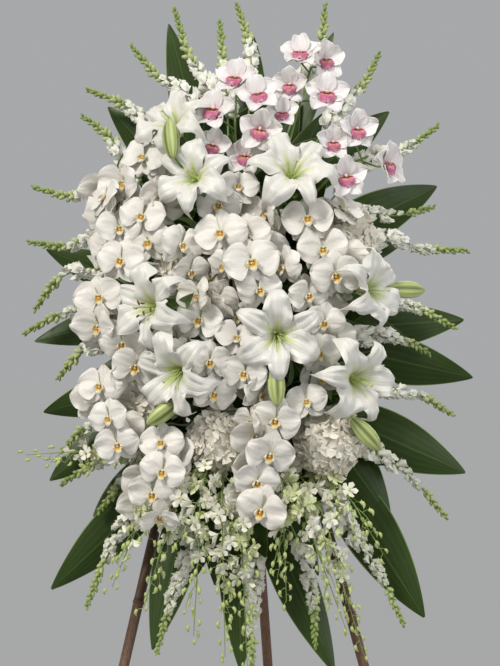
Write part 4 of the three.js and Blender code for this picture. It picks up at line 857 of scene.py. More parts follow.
# Geometry node trees. Each reads a plan's points.
class Tree(Nodes):
    """A geometry node tree that grows a plan into stems and flowers."""

    INPUTS = (
        ("Geometry", "Geometry", None), ("Flowers", "Collection", None), ("Flower Material", "Material", None),
        ("Stem Material", "Material", None), ("Stem Sides", "Int", 6), ("Seed", "Int", 0),
    )

    def __init__(self, name, *inputs):
        super().__init__(bpy.data.node_groups.new(name, "GeometryNodeTree"))
        sockets = self.tree.interface
        sockets.new_socket("Geometry", in_out="OUTPUT", socket_type="NodeSocketGeometry")
        for label, kind, default in (*self.INPUTS, *inputs):
            socket = sockets.new_socket(label, in_out="INPUT", socket_type=f"NodeSocket{kind}")
            if default is not None:
                socket.default_value = default
        self.source = self.node("NodeGroupInput")

    def given(self, label):
        return self.source.outputs[label]

    def seed(self, more):
        return self.plus(self.given("Seed"), float(more))

    def named(self, name, kind="FLOAT"):
        return self.node("GeometryNodeInputNamedAttribute", {"Name": name}, data_type=kind)

    def random(self, low, high, seed):
        return self.node("FunctionNodeRandomValue", {"Min_001": low, "Max_001": high, "Seed": seed},
                         data_type="FLOAT").outputs[1]

    def random_lean(self, reach, seed):
        """A random turn about the first two axes, up to reach each."""
        return self.node("FunctionNodeRandomValue", {
            "Min": (-reach, -reach, 0), "Max": (reach, reach, 0), "Seed": seed}, data_type="FLOAT_VECTOR").outputs[0]

    def spin(self, rotation, axis, angle):
        """The rotation turned further by an angle about one of its own axes."""
        turn = self.node("FunctionNodeAxisAngleToRotation", {"Axis": axis, "Angle": angle})
        return self.rotated(rotation, turn)

    def lean(self, rotation, angles):
        return self.rotated(rotation, self.node("FunctionNodeEulerToRotation", {"Euler": angles}))

    def rotated(self, rotation, turn):
        return self.node("FunctionNodeRotateRotation", {"Rotation": rotation, "Rotate By": turn},
                         rotation_space="LOCAL")

    def scaled(self, vector, factor):
        return self.node("ShaderNodeVectorMath", {0: vector, "Scale": factor}, operation="SCALE").outputs["Vector"]

    def ranged(self, value, low, high):
        """The value, from 0 to 1, set between two of the tree's inputs."""
        return self.node("ShaderNodeMapRange", {
            "Value": value, "To Min": self.given(low), "To Max": self.given(high)}).outputs["Result"]

    def part(self, role):
        """The plan's points of one role, with the lines between them."""
        same = self.node("FunctionNodeCompare", {"A_INT": self.named("role", "INT"), "B_INT": role},
                         data_type="INT", operation="EQUAL")
        return self.node("GeometryNodeSeparateGeometry", {"Geometry": self.given("Geometry"), "Selection": same},
                         domain="POINT").outputs["Selection"]

    def painted(self, geometry, label):
        return self.node("GeometryNodeSetMaterial", {"Geometry": geometry, "Material": self.given(label)})

    def stems(self):
        """Round stems along the plan's lines, as thick as their points say."""
        curve = self.node("GeometryNodeMeshToCurve", {"Mesh": self.part(STEM_ROLE)})
        profile = self.node("GeometryNodeCurvePrimitiveCircle", {
            "Resolution": self.given("Stem Sides"), "Radius": 1.0}, mode="RADIUS")
        tube = self.node("GeometryNodeCurveToMesh", {
            "Curve": curve, "Profile Curve": profile.outputs["Curve"], "Scale": self.named("thick"), "Fill Caps": True})
        return self.painted(self.node("GeometryNodeSetShadeSmooth", {"Geometry": tube}), "Stem Material")

    def set_out(self, collection, points, **inputs):
        """The templates of a collection, set out on points."""
        templates = self.node("GeometryNodeCollectionInfo", {
            "Collection": self.given(collection), "Separate Children": True, "Reset Children": True})
        return self.node("GeometryNodeInstanceOnPoints", {
            "Points": points, "Instance": templates, "Pick Instance": True,
            **{key.replace("_", " "): value for key, value in inputs.items()}})

    def noted(self, instances, name, value):
        """Notes a number on each flower, which its material reads."""
        return self.node("GeometryNodeStoreNamedAttribute", {"Geometry": instances, "Name": name, "Value": value},
                         data_type="FLOAT", domain="INSTANCE")

    def flowers(self, instances):
        """The flowers as one mesh, each with a random tone from 0 to 1."""
        toned = self.noted(instances, "tone", self.random(0.0, 1.0, self.given("Seed")))
        return self.painted(self.node("GeometryNodeRealizeInstances", {"Geometry": toned}), "Flower Material")

    def finish(self, *parts):
        join = self.node("GeometryNodeJoinGeometry")
        for part in parts:
            self.feed(part, join.inputs["Geometry"])
        last = self.node("GeometryNodeRealizeInstances", {"Geometry": join})
        self.node("NodeGroupOutput", {"Geometry": last})
        return self.tree


SIDE_AXIS, OUT_AXIS = (1, 0, 0), (0, 0, 1)


def bloom_tree():
    """Blooms on the places that the plan gives, each a little rolled, tilted and resized, and their stems."""
    t = Tree("Blooms on stems", ("Roll", "Float", 0.1), ("Tilt", "Float", 0.0), ("Size Spread", "Float", 0.04))
    spread, roll = t.given("Size Spread"), t.given("Roll")
    grow = t.random(t.minus(1.0, spread), t.plus(1.0, spread), t.given("Seed"))
    rolled = t.spin(t.named("turn", "QUATERNION"), OUT_AXIS, t.random(t.times(roll, -1.0), roll, t.seed(7)))
    tilted = t.lean(rolled, t.scaled(t.random_lean(1, t.seed(11)), t.given("Tilt")))
    blooms = t.set_out("Flowers", t.part(FLOWER_ROLE), Instance_Index=t.named("variant", "INT"), Rotation=tilted,
                       Scale=t.scaled(t.named("size", "FLOAT_VECTOR"), grow))
    return t.finish(t.stems(), t.flowers(blooms))


def spire_tree():
    """Flowers up a spire: open ones below, buds above, each a golden angle round from the last. On a spire's
    own line the thickness says, as a share, how far up it starts. Open flowers whose random turn is below
    Open Above are left out, so that buds sit closer than flowers. The last variant is the bud."""
    t = Tree("Flowering spires", ("Spacing", "Float", 0.006), ("Open Above", "Float", -1.0),
             ("Largest", "Float", 0.014), ("Smallest", "Float", 0.004), ("Open Share", "Float", 0.5),
             ("Lean Below", "Float", 1.3), ("Lean Above", "Float", 0.5), ("Variants", "Int", 2))
    curve = t.node("GeometryNodeMeshToCurve", {"Mesh": t.part(SPIRE_ROLE)})
    kept = t.node("GeometryNodeCaptureAttribute", {"Geometry": curve}, domain="POINT")
    kept.capture_items.new("FLOAT", "Up")
    t.feed(t.node("GeometryNodeSplineParameter").outputs["Factor"], kept.inputs["Up"])
    up = t.plus(kept.outputs["Up"], t.named("thick"))
    dots = t.node("GeometryNodeCurveToPoints", {"Curve": kept.outputs["Geometry"], "Length": t.given("Spacing")},
                  mode="LENGTH")
    jitter = t.random(-0.35, 0.35, t.given("Seed"))
    around = t.plus(t.times(t.node("GeometryNodeInputIndex"), GOLDEN_ANGLE), jitter)
    outwards = t.ranged(t.plus(up, t.times(jitter, 0.4)), "Lean Below", "Lean Above")
    turn = t.spin(t.spin(dots.outputs["Rotation"], OUT_AXIS, around), SIDE_AXIS, outwards)
    size = t.times(t.ranged(t.math("POWER", up, 0.8), "Largest", "Smallest"), t.random(0.85, 1.12, t.seed(3)))
    shut = t.math("GREATER_THAN", t.plus(up, t.times(jitter, 0.2)), t.given("Open Share"))
    pick = t.node("FunctionNodeRandomValue", {
        "Min_002": 0, "Max_002": t.minus(t.given("Variants"), 2.0), "Seed": t.given("Seed")}, data_type="INT")
    variant = t.plus(t.times(t.minus(1.0, shut), pick.outputs[2]), t.times(shut, t.minus(t.given("Variants"), 1.0)))
    kept_open = t.math("GREATER_THAN", jitter, t.given("Open Above"))
    whorls = t.set_out("Flowers", dots.outputs["Points"], Selection=t.math("MAXIMUM", shut, kept_open),
                       Instance_Index=variant, Rotation=turn, Scale=size)
    return t.finish(t.stems(), t.flowers(t.noted(whorls, "up", up)))


def head_tree():
    """A round head: a core ball, florets spaced over it that face outwards, and the leaves of its stem."""
    t = Tree("Hydrangea head", ("Centre", "Vector", None), ("Radius", "Float", 0.06), ("Spacing", "Float", 0.014),
             ("Floret Reach", "Float", 0.012), ("Core Material", "Material", None), ("Leaves", "Collection", None))
    ball = t.node("GeometryNodeMeshIcoSphere", {"Radius": t.times(t.given("Radius"), 0.9), "Subdivisions": 4})
    core = t.node("GeometryNodeTransform", {"Geometry": ball.outputs["Mesh"], "Translation": t.given("Centre")})
    dots = t.node("GeometryNodeDistributePointsOnFaces", {
        "Mesh": core, "Distance Min": t.given("Spacing"), "Density Max": 9000.0, "Seed": t.given("Seed")},
        distribute_method="POISSON")
    tilted = t.lean(dots.outputs["Rotation"], t.random_lean(0.5, t.given("Seed")))
    size = t.times(t.random(0.85, 1.15, t.seed(5)), t.given("Floret Reach"))
    florets = t.set_out("Flowers", dots.outputs["Points"], Scale=size,
                        Rotation=t.spin(tilted, OUT_AXIS, t.random(0.0, FULL_TURN, t.given("Seed"))))
    leaves = t.set_out("Leaves", t.part(FLOWER_ROLE), Instance_Index=t.named("variant", "INT"),
                       Rotation=t.named("turn", "QUATERNION"), Scale=t.named("size", "FLOAT_VECTOR"))
    foliage = t.painted(t.node("GeometryNodeRealizeInstances", {"Geometry": leaves}), "Flower Material")
    return t.finish(t.stems(), t.flowers(florets), t.painted(core, "Core Material"), foliage)


def tree_named(name, build):
    return bpy.data.node_groups.get(name) or build()


def rest_on_frame(obj, slot, *nodes):
    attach(obj, "root")
    if nodes:
        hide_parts(*nodes)
    return obj


def grown(name, plan, tree, values, slot, *nodes):
    """Runs a tree on a plan, keeps its result as a plain mesh and sets the piece on the frame."""
    obj = bpy.data.objects.new(name, plan.mesh(name + "_plan"))
    bpy.context.scene.collection.objects.link(obj)
    modifier = obj.modifiers.new("Grow", "NODES")
    sockets = {s.name: s.identifier for s in tree.interface.items_tree if getattr(s, "in_out", "") == "INPUT"}
    modifier.node_group = tree
    for label, value in values.items():
        modifier[sockets[label]] = value
    graph = bpy.context.evaluated_depsgraph_get()
    mesh = bpy.data.meshes.new_from_object(obj.evaluated_get(graph), preserve_all_data_layers=True, depsgraph=graph)
    obj.modifiers.clear()
    before = obj.data
    obj.data = mesh
    mesh.name = name
    bpy.data.meshes.remove(before)
    if not len(mesh.polygons):
        raise RuntimeError(f"{name} grew nothing")
    return rest_on_frame(obj, slot, *nodes)


def placed(name, shape, material, slot, *nodes):
    """Makes a piece of a shape given in the CAD's millimetres."""
    points, faces, marks = shape
    obj = bpy.data.objects.new(name, petal_mesh(name, ((points + SHIFT) * METRES, faces, marks)))
    obj.data.materials.append(material)
    bpy.context.scene.collection.objects.link(obj)
    return rest_on_frame(obj, slot, *nodes)


# Materials.
class Paint(Nodes):
    """A node material in the making, ending in one principled shader."""

    def __init__(self, name, roughness=0.5, **sockets):
        self.material = bpy.data.materials.new(name)
        self.material.use_nodes = True
        super().__init__(self.material.node_tree)
        self.shader = self.tree.nodes["Principled BSDF"]
        self.shader.inputs["Roughness"].default_value = roughness
        for label, value in sockets.items():
            self.shader.inputs[label.replace("_", " ")].default_value = value
        self.coordinates = self.node("ShaderNodeTexCoord").outputs["Object"]

    def marks(self):
        """How far along, how far across and the kind of part, from the mesh."""
        mark = self.node("ShaderNodeAttribute", attribute_name="mark").outputs["Vector"]
        split = self.node("ShaderNodeSeparateXYZ", {"Vector": mark})
        return split.outputs["X"], split.outputs["Y"], split.outputs["Z"]

    def attribute(self, name):
        return self.node("ShaderNodeAttribute", attribute_name=name).outputs["Fac"]

    def parts(self, kind, colours, petal_back=None):
        """The colour of each kind of part: petal, sepal, lip, column, green, bud and anther."""
        petal, sepal, *rest = colours
        backs = petal_back or petal
        return self.ramp(kind, list(zip(KIND_STOPS, (petal, backs, sepal, backs, *rest))), constant=True)

    def between(self, kind, low, high):
        return self.times(self.math("GREATER_THAN", kind, low), self.math("LESS_THAN", kind, high))

    def noise(self, scale, detail=3.0, coordinates=None):
        return self.node("ShaderNodeTexNoise", {
            "Vector": coordinates or self.coordinates, "Scale": scale, "Detail": detail}).outputs["Fac"]

    def stretched(self, scale):
        return self.node("ShaderNodeMapping", {"Vector": self.coordinates, "Scale": scale}).outputs["Vector"]

    def ramp(self, value, stops, constant=False):
        """A colour or a tone for each stop, with an eased change between them unless constant."""
        node = self.node("ShaderNodeValToRGB", {"Fac": value})
        ramp = node.color_ramp
        ramp.interpolation = "CONSTANT" if constant else "EASE"
        while len(ramp.elements) < len(stops):
            ramp.elements.new(0.5)
        for element, (at, colour) in zip(ramp.elements, stops):
            element.position = at
            element.color = (*(colour if hasattr(colour, "__len__") else (colour,) * 3), 1)
        return node.outputs["Color"]

    def mix(self, share, a, b, blend="MIX"):
        node = self.node("ShaderNodeMix", data_type="RGBA", blend_type=blend)
        for value, number in ((share, 0), (a, 6), (b, 7)):
            self.feed(value, node.inputs[number])
        return node.outputs[2]

    def stripes(self, across, count, wobble=0.4):
        """Fine lines that run along a petal or leaf, 0 to 1."""
        waver = self.times(self.noise(60, 2), wobble)
        turns = self.times(self.plus(across, self.times(waver, 0.12)), count)
        return self.plus(self.times(self.math("SINE", turns, 0.0), 0.5), 0.5)

    def bump(self, height, strength, distance=0.001):
        node = self.node("ShaderNodeBump", {"Height": height, "Strength": strength, "Distance": distance})
        self.tree.links.new(node.outputs["Normal"], self.shader.inputs["Normal"])

    def colour(self, socket):
        self.feed(socket, self.shader.inputs["Base Color"])
        return self.material


def lighter(colour, share):
    return tuple(c + (1 - c) * share for c in colour)


def darker(colour, share):
    return tuple(c * (1 - share) for c in colour)


def soft_skin(name, roughness, radius, weight=0.12, sheen=0.12, shine=0.35):
    """The start of a thin petal's paint, which lets some light through."""
    return Paint(name, roughness, Subsurface_Weight=weight, Subsurface_Radius=radius, Subsurface_Scale=1.0,
                 Sheen_Weight=sheen, Specular_IOR_Level=shine)


def petal_paint(name, parts, throat, lip=None, veins=0.1, vein_count=40.0, roughness=0.46, back=None, crease=0.42,
                rim_power=4.0):
    """A petal's paint. parts are the colours of petal, sepal, lip, column, green part, bud and anther. throat is
    the colour at the petals' foot and how far up it reaches, lip the lip's colours from the foot outwards, back
    the petals' back, and rim_power how closely the lip's last colour keeps to its rim."""
    p = soft_skin(name, roughness, (0.006, 0.005, 0.004))
    along, across, kind = p.marks()
    base = p.parts(kind, parts, back)
    foot = p.ramp(along, [(0.0, 1.0), (throat[1], 0.0)])
    colour = p.mix(p.times(foot, p.math("LESS_THAN", kind, LIP_FROM)), base, throat[0])
    if lip:
        is_lip = p.between(kind, LIP_FROM, COLUMN_FROM)
        rim = p.times(p.math("POWER", p.math("ABSOLUTE", across), rim_power), 0.85)
        outwards = p.math("MAXIMUM", along, rim)
        speckled = p.plus(outwards, p.times(p.minus(p.noise(260, 3), 0.5), 0.6))
        colour = p.mix(is_lip, colour, p.ramp(speckled, lip))
        inside = p.ramp(outwards, [(0.2, 1.0), (0.5, 0.0)])
        spots = p.times(p.ramp(p.noise(520, 1), [(0.55, 0.0), (0.62, 0.5)]), inside)
        colour = p.mix(p.times(spots, is_lip), colour, darker(lip[0][1], 0.5))
    lines = p.stripes(across, vein_count)
    colour = p.mix(p.times(lines, veins), colour, darker(throat[0], 0.25))
    colour = p.mix(p.times(p.noise(26, 3), 0.16), colour, darker(parts[0], 0.2), "MULTIPLY")
    colour = p.mix(p.times(p.attribute("tone"), 0.22), colour, (0.9, 0.86, 0.78), "MULTIPLY")
    creases = p.plus(p.times(p.stripes(across, 15.0, 2.4), 0.5), p.noise(95, 3))
    p.bump(p.plus(p.times(lines, 0.12), creases), crease, 0.0022)
    return p.colour(colour)


def stem_paint(name, colour, dark):
    p = Paint(name, 0.5, Specular_IOR_Level=0.4)
    p.bump(p.noise(700, 3), 0.2, 0.0005)
    return p.colour(p.mix(p.noise(45, 4), colour, dark))


class SprayColours(bpy.types.PropertyGroup):
    """The colours of the flowers, leaves and canes."""

    def shade(name, description, default):
        return FloatVectorProperty(name=name, description=description, default=default, size=3, min=0, max=1,
                                   subtype="COLOR")

    orchid_white: shade("Orchid white", "Petals of the white orchids", (0.835, 0.8, 0.74))
    orchid_lip: shade("Orchid lip", "Yellow of the white orchids' lips", (0.82, 0.45, 0.03))
    orchid_blotch: shade("Orchid blotch", "Red-brown marks inside the lips", (0.52, 0.09, 0.01))
    cymbidium_blush: shade("Cymbidium blush", "Petals of the pink-white orchids", (0.87, 0.835, 0.815))
    cymbidium_lip: shade("Cymbidium lip", "Deep pink of their lips", (0.5, 0.1, 0.21))
    lily_white: shade("Lily white", "Petals of the lilies", (0.765, 0.745, 0.685))
    lily_throat: shade("Lily throat", "Yellow-green of the lilies' throats", (0.5, 0.58, 0.08))
    pollen: shade("Pollen", "Anthers of the lilies", (0.12, 0.03, 0.01))
    hydrangea_cream: shade("Hydrangea cream", "Petals of the hydrangeas", (0.86, 0.815, 0.705))
    snapdragon_white: shade("Snapdragon white", "Open snapdragon flowers", (0.88, 0.87, 0.785))
    bud_green: shade("Bud green", "Buds of lilies, snapdragons and sprays", (0.4, 0.48, 0.12))
    stem_green: shade("Stem green", "Stems and calyxes", (0.14, 0.25, 0.05))
    raceme_brown: shade("Raceme brown", "Dark stems of the white orchids", (0.045, 0.05, 0.025))
    leaf_green: shade("Leaf green", "Upper side of the broad leaves", (0.024, 0.05, 0.005))
    leaf_rim: shade("Leaf rim", "Pale edge and midrib of the leaves", (0.22, 0.34, 0.08))
    cane_brown: shade("Cane brown", "Bamboo canes", (0.17, 0.085, 0.046))
    raffia: shade("Raffia", "Lashing at the apex", (0.46, 0.34, 0.17))
    cage_green: shade("Cage green", "Plastic foam cage", (0.012, 0.06, 0.025))
    foam_green: shade("Foam green", "Wet floral foam", (0.035, 0.12, 0.05))


class SpraySizes(bpy.types.PropertyGroup):
    """Sizes and numbers that a florist would change."""

    def span(name, description, default, least):
        return FloatProperty(name=name, description=description, default=default, min=least, subtype="DISTANCE",
                             unit="LENGTH")

    def angle(name, description, default):
        return FloatProperty(name=name, description=description, default=default, subtype="ANGLE")

    stem_sides: IntProperty(name="Stem sides", description="Sides of each round stem", default=7, min=4, max=16)
    bloom_roll: angle("Bloom roll", "How far a bloom may be rolled", 0.26)
    bloom_tilt: angle("Bloom tilt", "How far a bloom may nod or turn", 0.26)
    spire_spacing: span("Snapdragon spacing", "Distance between buds up a snapdragon", 0.0038, 0.002)
    spire_flower: span("Snapdragon flower", "Length of the lowest flower", 0.03, 0.005)
    spire_bud: span("Snapdragon bud", "Length of the highest bud", 0.009, 0.002)
    spray_spacing: span("Hanging spacing", "Distance between flowers along a hanging branch", 0.0125, 0.004)
    spray_flower: span("Hanging flower", "Petal reach of the hanging orchids", 0.0192, 0.004)
    floret_spacing: span("Floret spacing", "Least distance between hydrangea florets", 0.0098, 0.006)
    floret_reach: span("Floret reach", "Petal reach of a hydrangea floret", 0.0177, 0.004)
    cane_radius: span("Cane radius", "Radius of the canes between nodes", 0.01, 0.004)


class SpraySettings(bpy.types.PropertyGroup):
    """Everything that the spray's operators read."""

    colours: PointerProperty(type=SprayColours)
    sizes: PointerProperty(type=SpraySizes)


def settings(context):
    return context.scene.funeral_spray.colours, context.scene.funeral_spray.sizes


def plain(colour):
    return tuple(colour)[:3]


def common(sizes, flowers, petals, stem):
    """The inputs that every tree has."""
    return {"Flowers": flowers, "Flower Material": petals, "Stem Material": stem, "Stem Sides": sizes.stem_sides}


def pedicel(i):
    """How far behind a bloom its pedicel reaches. Every second one is longer."""
    return PEDICEL_BEHIND + (i % 2) * 4


class SPRAY_OT_phalaenopsis(bpy.types.Operator):
    """Grows the white orchid racemes"""

    bl_idname = "spray.phalaenopsis"
    bl_label = "White orchids"

    def execute(self, context):
        colours, sizes = settings(context)
        white = plain(colours.orchid_white)
        lip = plain(colours.orchid_lip)
        parts = (white, darker(white, 0.03), lip, (0.8, 0.76, 0.6), plain(colours.stem_green), white, white)
        stops = [(0.1, plain(colours.orchid_blotch)), (0.27, lip), (0.42, (0.82, 0.66, 0.22)),
                 (0.58, (0.8, 0.77, 0.58)), (0.75, white)]
        petals = petal_paint("white_orchid_petal", parts, ((0.7, 0.71, 0.5), 0.24), stops, 0.07, 46.0,
                             back=(0.72, 0.7, 0.56))
        stem = stem_paint("orchid_raceme", plain(colours.raceme_brown), (0.1, 0.13, 0.04))
        kinds = ((3, 0), (8, 0.05), (11, 0.14), (19, -0.08), (24, 0.34), (31, 0), (37, 0.5), (43, 0.1))
        flowers = bouquet("white_orchid", [phalaenopsis_flower(seed, cup) for seed, cup in kinds])
        tree = tree_named("Blooms on stems", bloom_tree)
        for number, (name, row) in enumerate(PHALAENOPSIS.items()):
            blooms = row["blooms"]
            plan = Plan(front_root(row["root"]))
            for route, stems in zip(row["routes"], row["stems"]):
                climb = [on_dome(x, z, -PEDICEL_BEHIND - 10) for x, z in stems]
                trail = []
                for i in route:
                    position, basis = orchid_place(blooms[i])
                    trail.append(position - basis[:, 2] * pedicel(i))
                path = [*plan.start, *climb, *trail]
                plan.line(centripetal(path, 14 * len(path)), 2.6, 1.5)
            draw = np.random.default_rng(500 + number)
            for route in row["routes"]:
                for i, j in zip(route, route[1:]):
                    self.behind(plan, blooms[i], blooms[j], draw, len(kinds))
            for i, bloom in enumerate(blooms):
                position, basis = orchid_place(bloom)
                plan.flower(position, basis, bloom[4] * PHALAENOPSIS_SCALE / 2, (i * 5 + number) % len(kinds))
                back = pedicel(i)
                bend = [position - basis[:, 2] * d - vec(0, 0, 1.5 * math.sin(d / back * math.pi))
                        for d in (1, 0.35 * back, 0.7 * back, back)]
                plan.line(bend, 1.5, 1.2)
            grown(f"white_orchids_{name}", plan, tree, common(sizes, flowers, petals, stem) | {
                "Seed": number, "Roll": sizes.bloom_roll, "Tilt": sizes.bloom_tilt},
                "orchid_petal", f"phalaenopsis_{name}")
        discard(flowers)
        return {"FINISHED"}

    def behind(self, plan, a, b, draw, kinds):
        """A bloom of the second row, between two neighbours and behind them."""
        x, z = (a[0] + b[0]) / 2 + draw.choice((-1, 1)) * draw.uniform(1.6, 3.0), (a[1] + b[1]) / 2
        turn, nod = (a[2] + b[2]) / 2 + draw.uniform(-30, 30), draw.uniform(-24, 24)
        position, basis = orchid_place((x, z, turn, nod, 0, min(a[5], b[5]) - draw.uniform(26, 40)))
        plan.flower(position, basis, (a[4] + b[4]) / 4 * PHALAENOPSIS_SCALE, int(draw.integers(0, kinds)))
        fork = (orchid_place(a)[0] + orchid_place(b)[0]) / 2 + vec(0, PEDICEL_BEHIND + 8, 0)
        plan.line(centripetal([position - basis[:, 2] * 2, position - basis[:, 2] * 12, fork], 8), 1.4, 1.2)


class SPRAY_OT_cymbidium(bpy.types.Operator):
    """Grows the pink-white orchid stems at the top"""

    bl_idname = "spray.cymbidium"
    bl_label = "Pink-white orchids"

    def execute(self, context):
        colours, sizes = settings(context)
        blush = plain(colours.cymbidium_blush)
        lip = plain(colours.cymbidium_lip)
        parts = (blush, darker(blush, 0.02), lip, (0.78, 0.62, 0.62), plain(colours.stem_green), blush, blush)
        stops = [(0.02, (0.4, 0.06, 0.09)), (0.14, (0.66, 0.26, 0.12)), (0.26, (0.74, 0.42, 0.2)),
                 (0.4, (0.6, 0.2, 0.26)), (0.58, lip), (0.8, (0.58, 0.17, 0.3)), (0.97, (0.7, 0.38, 0.48))]
        petals = petal_paint("pink_orchid_petal", parts, ((0.78, 0.56, 0.6), 0.3), stops, 0.03, 30.0, 0.4,
                             crease=0.24, rim_power=2.0)
        stem = stem_paint("pink_orchid_stem", (0.2, 0.27, 0.06), (0.12, 0.19, 0.04))
        seeds = (2, 5, 9, 14, 21)
        flowers = bouquet("pink_orchid", [cymbidium_flower(s) for s in seeds])
        tree = tree_named("Blooms on stems", bloom_tree)
        for number, (name, row) in enumerate(CYMBIDIUM.items()):
            plan = Plan(front_root(row["root"]))
            path = [*plan.start, *(on_dome(x, z, -PEDICEL_BEHIND + row["shift"]) for x, z in row["stem"])]
            main_stem = centripetal(path, STEM_POINTS)
            plan.line(main_stem, 3.4, 2.2)
            upper = main_stem[20:]
            for i, bloom in enumerate(row["blooms"]):
                position, basis = orchid_place(bloom)
                plan.flower(position, basis, bloom[4] * CYMBIDIUM_SCALE / 2, (2 * i + number) % len(seeds))
                far = np.linalg.norm(upper - position, axis=1) + 1.4 * np.maximum(0, upper[:, 2] - position[2])
                fork = upper[int(np.argmin(far))]
                back = position - basis[:, 2] * 4
                plan.line(centripetal([back + basis[:, 2] * 3, back - basis[:, 2] * 12, fork], 12), 2.2, 1.7)
            grown(f"pink_orchids_{name}", plan, tree, common(sizes, flowers, petals, stem) | {
                "Seed": 20 + number, "Roll": 0.2, "Tilt": sizes.bloom_tilt},
                "cymbidium_petal", f"cymbidium_{name}")
        discard(flowers)
        return {"FINISHED"}


def leafy(plan, stem, places, size, variant, spread, seed):
    """Leaves round a stem, a golden angle apart, that lean away from it."""
    draw = np.random.default_rng(700 + seed)
    for n, k in enumerate(places):
        ahead = unit(stem[k + 1] - stem[k])
        side = unit(np.cross(ahead, vec(0.2, 1, 0.1)))
        angle = 2.4 * n + draw.uniform(-0.4, 0.4)
        out = side * math.cos(angle) + np.cross(ahead, side) * math.sin(angle)
        along = unit(out + ahead * spread * draw.uniform(0.7, 1.3))
        across = unit(np.cross(along, ahead))
        basis = np.column_stack((across, along, np.cross(across, along)))
        plan.flower(stem[k] + out * 2, basis, size, variant)


class SPRAY_OT_lilies(bpy.types.Operator):
    """Grows the lilies and their buds"""

    bl_idname = "spray.lilies"
    bl_label = "Lilies"

    def execute(self, context):
        colours, sizes = settings(context)
        white = plain(colours.lily_white)
        bud = plain(colours.bud_green)
        green = plain(colours.stem_green)
        parts = (white, darker(white, 0.02), white, darker(green, 0.3), (0.5, 0.62, 0.2), lighter(bud, 0.3),
                 plain(colours.pollen))
        petals = lily_paint(parts, plain(colours.lily_throat), bud)
        stem = stem_paint("lily_stem", (0.13, 0.24, 0.05), (0.08, 0.15, 0.03))
        flowers = bouquet("lily", [
            lily_flower(4), lily_flower(7), lily_flower(12, True), lily_bud(), green_leaf(5, 0.15, COLUMN)])
        with_pollen, closed, leaf = 2, 3, 4
        tree = tree_named("Blooms on stems", bloom_tree)
        for number, (name, row) in enumerate(LILIES.items()):
            plan = Plan(front_root(row["root"]))
            ends = []
            for i, (x, z, turn, nod, roll, length, lift) in enumerate(row["blooms"]):
                position = on_dome(x, z, lift - 0.4 * length)
                basis = facing(turn + dome_turn(x), nod + dome_nod(z), roll)
                plan.flower(position, basis, length, with_pollen if name == "left" else (number + i) % 2)
                ends.append([position - basis[:, 2] * 0.5 * length, position - basis[:, 2] * 0.1 * length])
            trunk = centripetal([*plan.start, *ends[-1]], 40)
            plan.line(trunk, 3.6, 3.0)
            leafy(plan, trunk, range(12, 36, 3), 74, leaf, 0.7, number)
            for end in ends[:-1]:
                plan.line(centripetal([plan.start[1], *end], 30), 3.2, 2.8)
            fork = ends[-1][0]
            for foot_x, foot_z, tip_x, tip_z, stand in row["buds"]:
                foot, tip = on_dome(foot_x, foot_z, stand - 34), on_dome(tip_x, tip_z, stand - 22)
                foot = foot + (tip - foot) * max(0.0, 1 - LILY_BUD_LENGTH / np.linalg.norm(tip - foot))
                basis = basis_along(unit(tip - foot), vec(0.3, 1, 0.2))
                plan.flower(foot, basis, (16.5, 16.5, np.linalg.norm(tip - foot)), closed)
                bend = fork + (foot - fork) * 0.5 + vec(0, -6, 0)
                plan.line(centripetal([fork, bend, foot + (tip - foot) * 0.1], 24), 2.6, 2.4)
            grown(f"lilies_{name}", plan, tree, common(sizes, flowers, petals, stem) | {
                "Seed": 40 + number, "Roll": 0.0, "Size Spread": 0.0}, "lily_petal", f"lily_{name}")
        discard(flowers)
        return {"FINISHED"}


def lily_paint(parts, throat, bud):
    """White petals with a green furrow from the throat, and green-white buds with painted shade in the grooves between
    their tepals.
    """
    p = soft_skin("lily_petal", 0.42, (0.006, 0.006, 0.004), sheen=0.1, shine=0.4)
    along, across, kind = p.marks()
    is_petal = p.math("LESS_THAN", kind, LIP_FROM)
    aside = p.math("ABSOLUTE", across)
    middle = p.ramp(aside, [(0.0, 1.0), (0.34, 0.0)])
    deep = p.ramp(along, [(0.0, 1.0), (0.2, 0.9), (0.52, 0.0)])
    wide = p.ramp(along, [(0.0, 1.0), (0.3, 0.0)])
    furrow = p.math("MAXIMUM", p.times(middle, deep), p.times(wide, 0.75))
    colour = p.mix(p.times(furrow, is_petal), p.parts(kind, parts, (0.8, 0.83, 0.72)), throat)
    rib = p.times(p.ramp(aside, [(0.0, 1.0), (0.08, 0.0)]), 0.22)
    colour = p.mix(p.times(rib, is_petal), colour, (0.62, 0.7, 0.45))
    # Across a bud: near-black painted shade in the grooves between its tepals, then lighter and darker bands up to each
    # ridge.
    bud_bands_and_groove_shade = p.ramp(p.plus(p.times(across, 0.5), 0.5), [
        (0.0, darker(bud, 0.75)), (0.1, darker(bud, 0.35)), (0.4, lighter(bud, 0.12)), (0.74, darker(bud, 0.2)),
        (0.9, bud), (1.0, lighter(bud, 0.26))])
    ends = p.mix(p.ramp(along, [(0.7, 0.0), (1.0, 0.5)]), bud_bands_and_groove_shade, lighter(bud, 0.08))
    colour = p.mix(p.between(kind, BUD_FROM, ANTHER_FROM), colour, ends)
    lines = p.stripes(across, 30.0, 0.2)
    colour = p.mix(p.times(lines, 0.06), colour, (0.5, 0.55, 0.46))
    colour = p.mix(p.times(p.attribute("tone"), 0.2), colour, (0.9, 0.88, 0.8), "MULTIPLY")
    p.bump(p.plus(p.times(lines, 0.5), p.times(p.noise(120, 3), 0.8)), 0.4, 0.001)
    return p.colour(colour)


